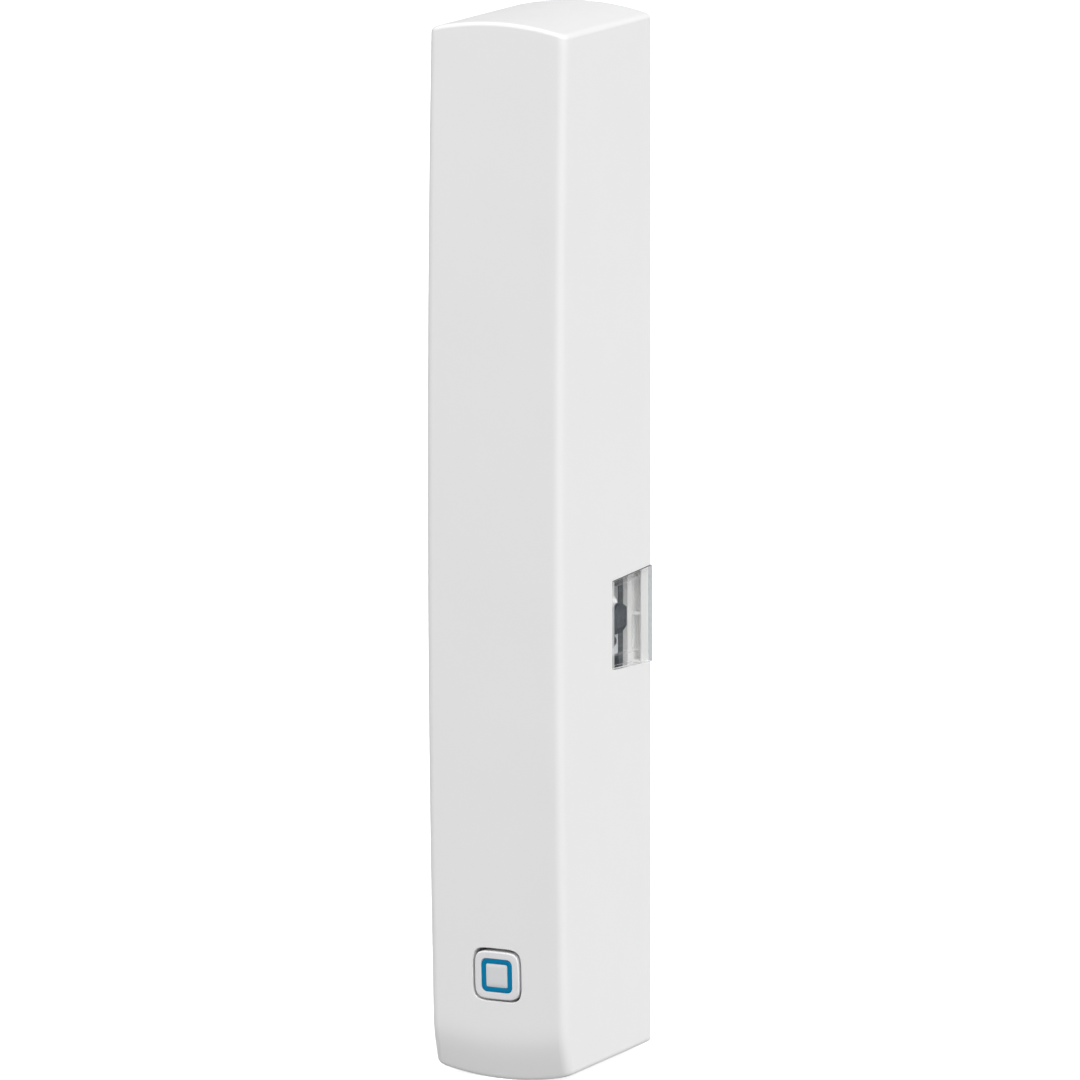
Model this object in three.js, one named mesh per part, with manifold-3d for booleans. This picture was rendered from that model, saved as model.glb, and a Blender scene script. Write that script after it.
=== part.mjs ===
// Slim wireless window and door contact: a battery-powered optical sensor in a snap-on housing.
//
// Millimetres. +Z is up along the housing, -Y is the front that people see, and +Y points into the
// window frame that the sensor is stuck to. The origin is the centre of the rear mounting face.

import * as THREE from "three";
import { mergeVertices } from "three/addons/utils/BufferGeometryUtils.js";
import Module from "manifold-3d";

const wasm = await Module();
wasm.setup();

// ---------------------------------------------------------------- driving dimensions

const HEIGHT = 102; // whole housing, at the middle of its width
const WIDTH = 14.5;
const CAP_DEPTH = 19.2; // rim to front face, at mid-height
const RIM_Y = -0.8; // rear rim of the front cap
const WALL = 1.2;
const EDGE_RADIUS = 0.9;
const END_RADIUS = 0.45; // round along the edges of the domed ends
const END_SETBACK = { top: 0.35, bottom: 0.12 }; // how far that round draws the front face back
const END_DOME = 0.92; // rise of the domed top and bottom at the middle of the width
const FRONT_CROWN = 1.1; // how far the front face falls back towards both ends
const BAND_HEIGHT = 3.5; // steeper strip along the lower end of the front face
const BAND_SETBACK = 0.75;

const BASE_REAR_Y = -0.3;
const BASE_FRONT_Y = -1.8;
const BASE_HALF_WIDTH = 5.95;
const END_GAP = 0.12; // between the base plate's ends and the cap's inner walls
const ADHESIVE = { width: 9.2, height: 80, thickness: 0.65 };
const SCREW_Z = 44.5;
const SCREW_HOLE_RADIUS = 1.3;
const SCREW_HEAD_RADIUS = 2.4;

const PCB = { halfWidth: 5.4, rearY: -3.0, frontY: -4.0, bottomZ: -48.2, topZ: 47.6 };

const KEY_Z = -40.7; // centre of the system button
const KEY_SIZE = 4.72;
const KEY_HOLE_SIZE = 5.2;
const KEY_HOLE_Z = KEY_Z + 0.06; // the key hangs a little low in its hole
const KEY_PROUD = 0.08;
const KEY_SQUARENESS = 5; // exponent of the key's superellipse outline
const RING_OUTER = 3.22;
const RING_INNER = 2.32;
const PRESS_TRAVEL = 0.3;

const WINDOW_Z = -7.85; // centre of the sensor window
const WINDOW_FRONT_Y = -9.0;
const WINDOW_FRONT_HALF = 4.33; // half height at its front edge
const WINDOW_REAR_HALF = { top: 4.62, bottom: 4.86 }; // reach at the rim, up and down
const WINDOW_REAR_Y = -0.4; // just proud of the cap's rim
const WINDOW_SKIN = 0.45;
const WINDOW_WALL = { front: 0.8, top: 0.78, bottom: 1.15, rear: 0.5 };
const WINDOW_GAP = 0.08;

const BATTERY = { radius: 5.25, length: 44.5, y: -10.25, z: 0.9 };
const BAY = { radius: 5.4, bottomZ: -2.4, topZ: 45.9, wallTopY: -11.6, endTopY: -14.5 };
const CONTACTS = { thickness: 0.35, negativeZ: -2.25, positiveZ: 45.45, halfWidth: 3.4, tabHalf: 1.0 };
const SPRING = { turns: 3.25, lowRadius: 3.1, highRadius: 2.0, wire: 0.28 };

const SWITCH = { half: 2.25, bodyHeight: 2.6, coverHeight: 0.3, tipHeight: 4.3, plungerRadius: 1.2 };
const TAMPER_Z = -30.2;
const SENSORS = { z: -8.22, pitch: 1.89, faceX: 5.4, lensY: -5.3, lensRadius: 0.52, halfHeight: 1.4 };
const BARRIER = { z: -7.8, half: 1.48, frontY: -6.72, rearY: -4.02, backX: 5.95, faceX: 6.3 };
const CONTACT_GAP = 0.05; // between pieces that touch at rest

const FRONT_WALL_CUT = [-22, -15]; // y range of a cut right through the cap's front wall
const HOLD_DOWN_RIBS_Z = [13, 34];
const PADS_Z = [-43, -30, -20, 6, 20, 34, 44]; // supports under the circuit board
const HOOKS_Z = [-47, -16];
const AERIAL_CLIPS_Z = [5, 41];
const TAB_SLOT = { half: 1.3, margin: 0.2 }; // slots that the contacts' tabs pass through
const LEDGE = { frame: 0.1, lip: 0.12, slotDepth: 1.0, rearStep: 0.15 };
const LEDGE_RIB = { x: [5.0, 5.84], proud: 1.15 };
const LEDGE_WEB = [-0.23, 0.07]; // z range between the ledge's slots, from the window's middle

// ---------------------------------------------------------------- materials

function material(name, color, roughness, metalness = 0, opacity = 1) {
  return new THREE.MeshStandardMaterial({
    name,
    color,
    roughness,
    metalness,
    opacity,
    transparent: opacity < 1,
  });
}

const M = {
  capWhite: material("cap_white", 0xf4f4f3, 0.32),
  baseWhite: material("base_white", 0xededeb, 0.5),
  keyWhite: material("key_white", 0xeeeff1, 0.3),
  ringBlue: material("ring_blue", 0x0873a0, 0.35),
  windowClear: material("window_clear", 0xdfe3e3, 0.06, 0, 0.35),
  lensClear: material("lens_clear", 0xe6eaec, 0.08, 0, 0.5),
  lensDark: material("lens_dark", 0x23262c, 0.15),
  opticsBlack: material("optics_black", 0x3d4348, 0.6),
  pcb: material("pcb_laminate", 0x2f3a3c, 0.45),
  chip: material("chip_black", 0x1c1d1f, 0.55),
  steel: material("spring_steel", 0xc9cacb, 0.3, 1),
  nickel: material("nickel_plate", 0xd6d4cd, 0.22, 1),
  sleeve: material("battery_sleeve", 0x3b6ea5, 0.35),
  seal: material("seal_black", 0x2a2a2b, 0.6),
  ledWhite: material("led_white", 0xf2efe2, 0.4),
  foam: material("adhesive_foam", 0xf0efe9, 0.9),
  antenna: material("antenna_insulation", 0x9a9c9e, 0.55),
  ferrite: material("ferrite_grey", 0x4a4b4d, 0.7),
};

// ---------------------------------------------------------------- solids

// Closed geometry to a manifold-3d solid, and back.
function solid(geometry) {
  const bare = geometry.clone();
  bare.deleteAttribute("normal");
  bare.deleteAttribute("uv");
  const merged = mergeVertices(bare, 1e-4);
  return new wasm.Manifold(
    new wasm.Mesh({
      numProp: 3,
      vertProperties: merged.attributes.position.array,
      triVerts: new Uint32Array(merged.index.array),
    }),
  );
}

function geometryOf(body) {
  const mesh = body.getMesh();
  const geometry = new THREE.BufferGeometry();
  geometry.setAttribute("position", new THREE.BufferAttribute(mesh.vertProperties, 3));
  geometry.setIndex(new THREE.BufferAttribute(mesh.triVerts, 1));
  geometry.computeVertexNormals();
  return geometry;
}

function joined(first, ...others) {
  return others.reduce((whole, other) => whole.add(other), first);
}

function cut(first, ...others) {
  return others.reduce((whole, other) => whole.subtract(other), first);
}

function block([x0, x1], [y0, y1], [z0, z1]) {
  const geometry = new THREE.BoxGeometry(x1 - x0, y1 - y0, z1 - z0);
  return solid(geometry.translate((x0 + x1) / 2, (y0 + y1) / 2, (z0 + z1) / 2));
}

// A round bar or cone frustum along +Y from y0 to y1.
function barY(x, z, [y0, y1], radius, endRadius = radius, sides = 24) {
  const geometry = new THREE.CylinderGeometry(endRadius, radius, y1 - y0, sides);
  return solid(geometry.translate(x, (y0 + y1) / 2, z));
}

function barZ(x, y, [z0, z1], radius, sides = 48) {
  const geometry = new THREE.CylinderGeometry(radius, radius, z1 - z0, sides);
  return solid(geometry.rotateX(Math.PI / 2).translate(x, y, (z0 + z1) / 2));
}

const ALONG_Y = new THREE.Matrix4().makeBasis(
  new THREE.Vector3(1, 0, 0),
  new THREE.Vector3(0, 0, 1),
  new THREE.Vector3(0, -1, 0),
);
const ALONG_X = new THREE.Matrix4().makeBasis(
  new THREE.Vector3(0, 1, 0),
  new THREE.Vector3(0, 0, 1),
  new THREE.Vector3(1, 0, 0),
);

// An outline in x and z, extruded from y0 to y1.
function prismY(outline, [y0, y1]) {
  const shape = new THREE.Shape(outline.map(([x, z]) => new THREE.Vector2(x, z)));
  const geometry = new THREE.ExtrudeGeometry(shape, { depth: y1 - y0, bevelEnabled: false });
  return solid(geometry.applyMatrix4(ALONG_Y).translate(0, y1, 0));
}

// An outline in y and z, extruded from x0 to x1.
function prismX(outline, [x0, x1]) {
  const shape = new THREE.Shape(outline.map(([y, z]) => new THREE.Vector2(y, z)));
  const geometry = new THREE.ExtrudeGeometry(shape, { depth: x1 - x0, bevelEnabled: false });
  return solid(geometry.applyMatrix4(ALONG_X).translate(x0, 0, 0));
}

// A turned body whose axis is the local +Z; the profile lists radius and height.
function turned(profile, sides = 48) {
  const points = profile.map(([radius, height]) => new THREE.Vector2(radius, height));
  return new THREE.LatheGeometry(points, sides).rotateX(Math.PI / 2);
}

// Superellipse outline of a squarish key, centred on (x, z).
function squircle(size, x, z, exponent = KEY_SQUARENESS, count = 40) {
  const half = size / 2;
  return Array.from({ length: count }, (_, i) => {
    const angle = (2 * Math.PI * i) / count;
    const c = Math.cos(angle);
    const s = Math.sin(angle);
    const reach = half / (Math.abs(c) ** exponent + Math.abs(s) ** exponent) ** (1 / exponent);
    return [x + reach * c, z + reach * s];
  });
}

// ---------------------------------------------------------------- housing form

// y of the front face at height z: a long crown with a steeper strip at the bottom.
function frontY(z) {
  const share = z / (HEIGHT / 2);
  const band = THREE.MathUtils.clamp((BAND_HEIGHT - HEIGHT / 2 - z) / BAND_HEIGHT, 0, 1);
  return RIM_Y - CAP_DEPTH + FRONT_CROWN * share * share + BAND_SETBACK * band;
}

// How far the domed ends fall at x, for a point at height z.
function domeDrop(x, z) {
  const across = x / (WIDTH / 2);
  const along = z / (HEIGHT / 2);
  return END_DOME * across * across * along * Math.abs(along);
}

// The housing's outer form set in by `inset`, as a closed solid from its front to y = rearY.
function housingForm(inset, rearY) {
  const cornerSteps = 4;
  const acrossSteps = 8;
  const alongSteps = 14;
  const radius = Math.max(EDGE_RADIUS - inset, 0.3);
  const endRadius = Math.max(END_RADIUS - inset, 0.3);
  const setback = (z) => Math.max((z > 0 ? END_SETBACK.top : END_SETBACK.bottom) - inset, 0.1);
  const halfX = WIDTH / 2 - inset;
  const halfZ = HEIGHT / 2 - inset;

  // The share runs from 0, where the round along the end starts, to 1 at the end's tip.
  const end = Array.from({ length: cornerSteps + 1 }, (_, i) => {
    const angle = (Math.PI / 2) * (i / cornerSteps);
    const z = halfZ - endRadius * (1 - Math.cos(angle));
    return { z, share: 1 - Math.sin(angle) };
  });
  const bandTop = BAND_HEIGHT - HEIGHT / 2;
  const span = halfZ - endRadius - bandTop;
  const middle = Array.from({ length: alongSteps }, (_, i) => ({
    z: bandTop + (span * i) / alongSteps,
    share: 0,
  }));
  const bottomEnd = end.map(({ z, share }) => ({ z: -z, share }));
  const levels = [...bottomEnd, ...middle, ...end.reverse()];

  const positions = [];
  for (const { z, share } of levels) {
    const half = halfX - endRadius * share;
    const front = frontY(z) + inset + setback(z) * share;
    const chain = [];
    for (let i = 0; i <= cornerSteps; i++) {
      const angle = (Math.PI / 2) * (i / cornerSteps);
      chain.push([-half + radius * (1 - Math.cos(angle)), front + radius * (1 - Math.sin(angle))]);
    }
    const flat = half - radius;
    for (let i = 1; i < acrossSteps; i++) chain.push([-flat + (2 * flat * i) / acrossSteps, front]);
    const mirrored = chain.slice(0, cornerSteps + 1).map(([x, y]) => [-x, y]);
    chain.push(...mirrored.reverse());
    const rear = chain.map(([x]) => [x, rearY]).reverse();
    for (const [x, y] of [...chain, ...rear]) positions.push(x, y, z - domeDrop(x, z));
  }

  const ring = positions.length / 3 / levels.length;
  const half = ring / 2;
  const top = (levels.length - 1) * ring;
  const index = [];
  const quad = (a, b, c, d) => index.push(a, b, c, a, c, d);
  for (let i = 0; i < levels.length - 1; i++) {
    for (let j = 0; j < ring; j++) {
      const next = (j + 1) % ring;
      quad(i * ring + j, i * ring + next, (i + 1) * ring + next, (i + 1) * ring + j);
    }
  }
  for (let j = 0; j < half - 1; j++) {
    const back = ring - 1 - j;
    quad(top + j, top + j + 1, top + back - 1, top + back);
    quad(j + 1, j, back, back - 1);
  }
  const geometry = new THREE.BufferGeometry();
  geometry.setAttribute("position", new THREE.Float32BufferAttribute(positions, 3));
  geometry.setIndex(index);
  return solid(geometry);
}

// Side outline of the sensor window up to rearY, set in from its notch at the front, top and bottom.
function windowOutline(rearY, front = 0, top = front, bottom = front) {
  const frontEdge = WINDOW_FRONT_Y + front;
  const reach = (y, rearHalf) => {
    const share = (y - WINDOW_FRONT_Y) / (RIM_Y - WINDOW_FRONT_Y);
    return WINDOW_FRONT_HALF + (rearHalf - WINDOW_FRONT_HALF) * share;
  };
  const lowZ = (y) => WINDOW_Z - reach(y, WINDOW_REAR_HALF.bottom) + bottom;
  const highZ = (y) => WINDOW_Z + reach(y, WINDOW_REAR_HALF.top) - top;
  return [
    [frontEdge, lowZ(frontEdge)],
    [rearY, lowZ(rearY)],
    [rearY, highZ(rearY)],
    [frontEdge, highZ(frontEdge)],
  ];
}

// ---------------------------------------------------------------- scene graph

const root = new THREE.Group();

function add(parent, name, body, look) {
  const geometry = body.isBufferGeometry ? body : geometryOf(body);
  const mesh = new THREE.Mesh(geometry, look);
  mesh.name = name;
  parent.add(mesh);
  return mesh;
}

// ---------------------------------------------------------------- housing pieces

function frontCap() {
  const hollow = housingForm(WALL, RIM_Y + 2);
  const keyHole = prismY(squircle(KEY_HOLE_SIZE, 0, KEY_HOLE_Z), FRONT_WALL_CUT);
  const sideNotch = prismX(windowOutline(RIM_Y + 2), [WIDTH / 2 - WALL - 1, WIDTH / 2 + 1]);
  const shell = cut(housingForm(0, RIM_Y), hollow, keyHole, sideNotch);

  // Two ribs hold the battery down, and a post works the tamper switch.
  const embed = 0.5; // how deep the ribs and the post stand in the front wall
  const clearance = 0.3;
  const rib = { halfWidth: 4.2, halfThickness: 0.6, rearY: -13.2 };
  const hold = barZ(0, BATTERY.y, [-5, 50], BATTERY.radius + clearance);
  const ribs = HOLD_DOWN_RIBS_Z.map((z) => {
    const height = [z - rib.halfThickness, z + rib.halfThickness];
    return cut(block([-rib.halfWidth, rib.halfWidth], [frontY(z) + embed, rib.rearY], height), hold);
  });
  const tip = PCB.frontY - SWITCH.tipHeight + PRESS_TRAVEL - 2 * CONTACT_GAP;
  const postRadius = { root: 1.6, tip: 1.1 };
  const post = barY(0, TAMPER_Z, [frontY(TAMPER_Z) + embed, tip], postRadius.root, postRadius.tip);
  return joined(shell, ...ribs, post);
}

function basePlate() {
  const half = BASE_HALF_WIDTH;
  const endZ = HEIGHT / 2 - WALL - END_GAP;
  const steps = 8;
  const topEdge = Array.from({ length: steps + 1 }, (_, i) => {
    const x = half - (2 * half * i) / steps;
    return [x, endZ - domeDrop(x, endZ)];
  });
  const bottomEdge = topEdge.map(([x, z]) => [-x, -z]);
  const plate = prismY([...topEdge, ...bottomEdge], [BASE_FRONT_Y, BASE_REAR_Y]);

  // The ledge fills the rear of the sensor window's notch; two slots lighten it, with a web between,
  // and a rib runs along them under the circuit board's edge.
  const side = WIDTH / 2 - WINDOW_SKIN - CONTACT_GAP;
  const fromNotch = BASE_FRONT_Y - WINDOW_FRONT_Y;
  const outline = windowOutline(BASE_REAR_Y + LEDGE.rearStep, fromNotch, CONTACT_GAP, CONTACT_GAP);
  const ledgeZ = [outline[0][1], outline[3][1]];
  const webZ = LEDGE_WEB.map((z) => WINDOW_Z + z);
  const slotX = [LEDGE_RIB.x[1], side - LEDGE.lip];
  const slots = [[ledgeZ[0] + LEDGE.frame, webZ[0]], [webZ[1], ledgeZ[1] - LEDGE.frame]].map((z) =>
    block(slotX, [BASE_FRONT_Y - 1, BASE_FRONT_Y + LEDGE.slotDepth], z),
  );
  const inPlate = BASE_FRONT_Y + 0.2;
  const ledge = joined(
    prismX(outline, [half - 0.5, side]),
    block(LEDGE_RIB.x, [BASE_FRONT_Y - LEDGE_RIB.proud, inPlate], ledgeZ),
  );
  const pad = { x: 4.55, halfWidth: 0.65, halfHeight: 0.8 };
  const pads = PADS_Z.flatMap((z) =>
    [-pad.x, pad.x].map((x) =>
      block(
        [x - pad.halfWidth, x + pad.halfWidth],
        [PCB.rearY + CONTACT_GAP, inPlate],
        [z - pad.halfHeight, z + pad.halfHeight],
      ),
    ),
  );
  const hooks = HOOKS_Z.flatMap((z) => [-1, 1].map((hookSide) => pcbHook(hookSide, z)));
  const endHook = joined(
    block([-2, 2], [PCB.frontY - 0.7, inPlate], [PCB.topZ + 0.15, PCB.topZ + 0.85]),
    block([-2, 2], [PCB.frontY - 0.7, PCB.frontY - 0.1], [PCB.topZ - 0.3, PCB.topZ + 0.5]),
  );

  const recessX = ADHESIVE.width / 2 + 0.15;
  const recessZ = ADHESIVE.height / 2 + 0.2;
  const recess = block([-recessX, recessX], [-ADHESIVE.thickness, 1], [-recessZ, recessZ]);
  const countersink = [BASE_FRONT_Y - 0.1, BASE_FRONT_Y + 1.0];
  const screwHoles = [-SCREW_Z, SCREW_Z].flatMap((z) => [
    barY(0, z, [-3, 1], SCREW_HOLE_RADIUS),
    barY(0, z, countersink, SCREW_HEAD_RADIUS, SCREW_HOLE_RADIUS),
  ]);
  return cut(joined(plate, ledge, ...pads, ...hooks, endHook), recess, ...slots, ...screwHoles);
}

// A snap hook beside the circuit board, with its barb over the board's edge.
function pcbHook(side, z) {
  const height = 1.6;
  const stemX = side * (PCB.halfWidth + 0.12);
  const outerX = side * BASE_HALF_WIDTH;
  const footY = BASE_FRONT_Y + 0.2;
  const catchY = PCB.frontY - 0.1;
  const tipY = PCB.frontY - 0.9;
  const outline = [
    [stemX, footY],
    [stemX, catchY],
    [side * (PCB.halfWidth - 0.2), catchY],
    [side * (PCB.halfWidth + 0.1), tipY],
    [outerX, tipY],
    [outerX, footY],
  ];
  const shape = new THREE.Shape(outline.map(([x, y]) => new THREE.Vector2(x, y)));
  const geometry = new THREE.ExtrudeGeometry(shape, { depth: height, bevelEnabled: false });
  return solid(geometry.translate(0, 0, z - height / 2));
}

function adhesiveStrip() {
  const { width, height, thickness } = ADHESIVE;
  return block([-width / 2, width / 2], [-thickness + 0.02, 0], [-height / 2, height / 2]);
}

function sensorWindow() {
  const outerX = WIDTH / 2;
  const skinX = outerX - WINDOW_SKIN;
  const wallX = PCB.halfWidth + 0.6;
  const rearOfWalls = BASE_FRONT_Y - 0.1;
  const { front, top, bottom, rear } = WINDOW_WALL;
  const skin = prismX(windowOutline(WINDOW_REAR_Y, WINDOW_GAP), [skinX, outerX]);
  const walls = prismX(windowOutline(rearOfWalls, WINDOW_GAP), [wallX, skinX + 0.1]);
  const pocket = prismX(
    windowOutline(rearOfWalls - rear, WINDOW_GAP + front, WINDOW_GAP + top, WINDOW_GAP + bottom),
    [wallX - 1, skinX],
  );
  return joined(skin, cut(walls, pocket));
}

function batteryHolder() {
  const half = BASE_HALF_WIDTH;
  const rear = PCB.frontY - 0.1;
  const wall = 1.0;
  const bottom = BAY.bottomZ - wall;
  const top = BAY.topZ + 1.2;
  const trough = block([-half, half], [BAY.wallTopY, rear], [bottom, top]);
  const ends = [[bottom, BAY.bottomZ], [BAY.topZ, top]].map((z) =>
    block([-4.5, 4.5], [BAY.endTopY, BAY.wallTopY + 0.5], z),
  );
  const bay = joined(
    barZ(0, BATTERY.y, [BAY.bottomZ, BAY.topZ], BAY.radius),
    block([-BAY.radius, BAY.radius], [BAY.wallTopY - 1, BATTERY.y], [BAY.bottomZ, BAY.topZ]),
  );
  const fingerScoop = block([-7, 7], [-13, -9.2], [14.5, 32.5]);
  const tabSlots = contactTabSlots([-6, 0]);
  const clips = AERIAL_CLIPS_Z.map(antennaClip);
  return joined(cut(joined(trough, ...ends), bay, fingerScoop, ...tabSlots), ...clips);
}

// Cutters for the two contacts' tabs, over a range of y.
function contactTabSlots(y) {
  const { half, margin } = TAB_SLOT;
  return [CONTACTS.negativeZ, CONTACTS.positiveZ].map((z) =>
    block([-half, half], y, [z - margin, z + CONTACTS.thickness + margin]),
  );
}

// A hook on the holder's left wall that keeps the aerial wire in its corner.
function antennaClip(z) {
  const half = BASE_HALF_WIDTH;
  const height = [z - 1.2, z + 1.2];
  return joined(
    block([-half, -half + 0.35], [-14.5, BAY.wallTopY + 0.5], height),
    block([-half, -half + 1.1], [-14.5, -14.1], height),
  );
}

function buttonTower() {
  const outer = 4.1;
  const inner = 3.3;
  const top = -17.4;
  const lip = 0.8;
  const foot = { halfX: 5.3, halfZ: 5.2, height: 1.0 };
  const rear = PCB.frontY - 0.1;
  const tube = block([-outer, outer], [top, rear], [KEY_Z - outer, KEY_Z + outer]);
  const flange = block([-foot.halfX, foot.halfX], [rear - foot.height, rear],
    [KEY_Z - foot.halfZ, KEY_Z + foot.halfZ]);
  const hollow = block([-inner, inner], [top + lip, rear + 1], [KEY_Z - inner, KEY_Z + inner]);
  const mouth = prismY(squircle(KEY_HOLE_SIZE, 0, KEY_Z), [top - 1, top + lip + 1]);
  const sideWindow = block([-6, 6], [-14.5, -9.5], [KEY_Z - 1.8, KEY_Z + 1.8]);
  return cut(joined(tube, flange), hollow, mouth, sideWindow);
}

// ---------------------------------------------------------------- button pieces

const KEY_FACE_Y = frontY(KEY_Z) - KEY_PROUD;
const PLUNGER_TIP_Y = PCB.frontY - SWITCH.tipHeight;

// Rounded square outline, with arcs at the corners.
function roundedSquare(size, radius, x, z, steps = 5) {
  const half = size / 2 - radius;
  const outline = [];
  for (let corner = 0; corner < 4; corner++) {
    const start = (Math.PI / 2) * corner;
    const cx = half * (corner === 0 || corner === 3 ? 1 : -1);
    const cz = half * (corner < 2 ? 1 : -1);
    for (let i = 0; i <= steps; i++) {
      const angle = start + (Math.PI / 2) * (i / steps);
      outline.push([x + cx + radius * Math.cos(angle), z + cz + radius * Math.sin(angle)]);
    }
  }
  return outline;
}

function buttonKey() {
  const flange = { half: 3.05, frontY: -16.5, rearY: -15.5 };
  const head = prismY(squircle(KEY_SIZE, 0, KEY_Z), [KEY_FACE_Y, flange.frontY + 0.2]);
  const stop = block([-flange.half, flange.half], [flange.frontY, flange.rearY],
    [KEY_Z - flange.half, KEY_Z + flange.half]);
  const bore = prismY(roundedSquare(RING_OUTER + 0.08, 0.7, 0, KEY_Z), [-22, -10]);
  return cut(joined(head, stop), bore);
}

function lightGuide() {
  const rear = PLUNGER_TIP_Y - 0.4;
  const tube = prismY(roundedSquare(RING_OUTER, 0.66, 0, KEY_Z), [KEY_FACE_Y, rear]);
  const bore = prismY(roundedSquare(RING_INNER, 0.3, 0, KEY_Z), [-22, -5]);
  const width = [-0.7, 0.7];
  const legTop = KEY_Z - RING_OUTER / 2 + 0.1;
  const legBottom = KEY_Z - 3.0;
  const arm = block(width, [rear - 1.0, rear], [legBottom, legTop]);
  const leg = block(width, [rear - 1.0, PCB.frontY - 1.0], [legBottom, legBottom + 0.6]);
  return joined(cut(tube, bore), arm, leg);
}

function keyCore() {
  const plate = prismY(roundedSquare(RING_INNER - 0.08, 0.26, 0, KEY_Z), [KEY_FACE_Y, -17.5]);
  const stem = barY(0, KEY_Z, [-17.6, PLUNGER_TIP_Y - CONTACT_GAP], 0.95);
  return joined(plate, stem);
}

// ---------------------------------------------------------------- switches

// A small tactile switch standing on the board, its plunger pointing out of the local +Z.
function tactileSwitch(prefix, z, pressed) {
  const group = new THREE.Group();
  group.position.set(0, PCB.frontY, z);
  group.rotation.x = Math.PI / 2;
  const { half, bodyHeight, coverHeight, tipHeight, plungerRadius } = SWITCH;
  const bottom = 0.05;
  const well = 1.2;
  const turn = (radius, low, high) => solid(turned([[0, low], [radius, low], [radius, high], [0, high]], 24));
  const body = cut(
    block([-half + 0.05, half - 0.05], [-half + 0.05, half - 0.05], [bottom, bodyHeight]),
    turn(plungerRadius + 0.25, well, bodyHeight + 1),
  );
  const coverBottom = bodyHeight + CONTACT_GAP;
  const cover = cut(
    block([-half, half], [-half, half], [coverBottom, coverBottom + coverHeight]),
    turn(plungerRadius + 0.15, 0, bodyHeight + 2),
  );
  const plungerTop = tipHeight - pressed;
  const chamfer = 0.2;
  const plunger = turned([
    [0, well + 0.4 - pressed],
    [plungerRadius, well + 0.4 - pressed],
    [plungerRadius, plungerTop - chamfer],
    [plungerRadius - chamfer, plungerTop],
    [0, plungerTop],
  ], 24);
  add(group, `${prefix}_switch_body`, body, M.chip);
  add(group, `${prefix}_switch_cover`, cover, M.steel);
  add(group, `${prefix}_switch_plunger`, plunger, M.baseWhite);
  return group;
}

// ---------------------------------------------------------------- circuit board

function circuitBoard() {
  const { halfWidth, rearY, frontY: front, bottomZ, topZ } = PCB;
  const board = block([-halfWidth, halfWidth], [front, rearY], [bottomZ, topZ]);
  const through = [front - 1, rearY + 1];
  const slots = contactTabSlots(through);
  const cutAway = 1.2;
  const corner = block([-8, -halfWidth + cutAway], through, [bottomZ - 1, bottomZ + cutAway]);
  return cut(board, ...slots, corner);
}

// Rectangular components: x range, z range and height above the board.
const BOARD_PARTS = [
  ["microcontroller", [-3.5, 3.5], [-26.4, -19.4], 1.0, M.chip],
  ["radio_shield", [-5.0, 1.8], [-18.4, -9.4], 1.9, M.nickel],
  ["crystal", [2.7, 4.7], [-18.4, -15.2], 0.8, M.nickel],
  ["boost_inductor", [-0.7, 2.2], [-7.2, -4.3], 1.6, M.ferrite],
  ["emitter_driver", [2.9, 4.3], [-31.6, -28.7], 1.0, M.chip],
  ["status_led", [-0.8, 0.8], [KEY_Z - 3.2, KEY_Z - 2.4], 0.6, M.ledWhite],
];

function boardPart([name, x, z, height, look]) {
  const rear = PCB.frontY - CONTACT_GAP;
  add(root, name, block(x, [rear - height, rear], z), look);
}

function bufferCapacitor() {
  const group = new THREE.Group();
  group.position.set(-3.0, PCB.frontY - CONTACT_GAP, -5.7);
  group.rotation.x = Math.PI / 2;
  const base = block([-2.1, 2.1], [-2.1, 2.1], [0, 0.9]);
  const can = solid(turned([
    [0, 0.5], [1.9, 0.5], [1.9, 1.5], [1.75, 1.7], [1.75, 1.9], [1.95, 2.1],
    [1.95, 5.0], [1.75, 5.3], [0, 5.3],
  ], 32));
  add(group, "buffer_capacitor", joined(base, can), M.nickel);
  return group;
}

// The wire aerial: out of the board, up the left front corner beside the battery.
function antennaWire() {
  const rise = new THREE.Vector3(-4.7, PCB.frontY - CONTACT_GAP, -33.6);
  const bendStart = new THREE.Vector3(-4.7, -12.2, -33.6);
  const corner = new THREE.Vector3(-4.9, -13.6, -33.6);
  const bendEnd = new THREE.Vector3(-5.1, -13.6, -31.6);
  const tip = new THREE.Vector3(-5.1, -13.6, 44);
  const path = new THREE.CurvePath();
  path.add(new THREE.LineCurve3(rise, bendStart));
  path.add(new THREE.QuadraticBezierCurve3(bendStart, corner, bendEnd));
  path.add(new THREE.LineCurve3(bendEnd, tip));
  const section = new THREE.Shape().absarc(0, 0, 0.35, 0, 2 * Math.PI);
  return new THREE.ExtrudeGeometry(section, {
    steps: 44,
    curveSegments: 4,
    bevelEnabled: false,
    extrudePath: path,
  });
}

// ---------------------------------------------------------------- optics

// Side-looking package with its lens towards +X; the emitter sits above the receiver.
function opticalElement(name, z, look) {
  const group = new THREE.Group();
  group.position.set(0, PCB.frontY - CONTACT_GAP, z);
  const { faceX, lensRadius, halfHeight } = SENSORS;
  const middleY = SENSORS.lensY - group.position.y;
  const body = block([3.3, faceX], [2 * middleY, 0], [-halfHeight, halfHeight]);
  const lens = new THREE.SphereGeometry(lensRadius, 20, 12).translate(faceX, middleY, 0);
  add(group, name, joined(body, solid(lens)), look);
  return group;
}

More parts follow.
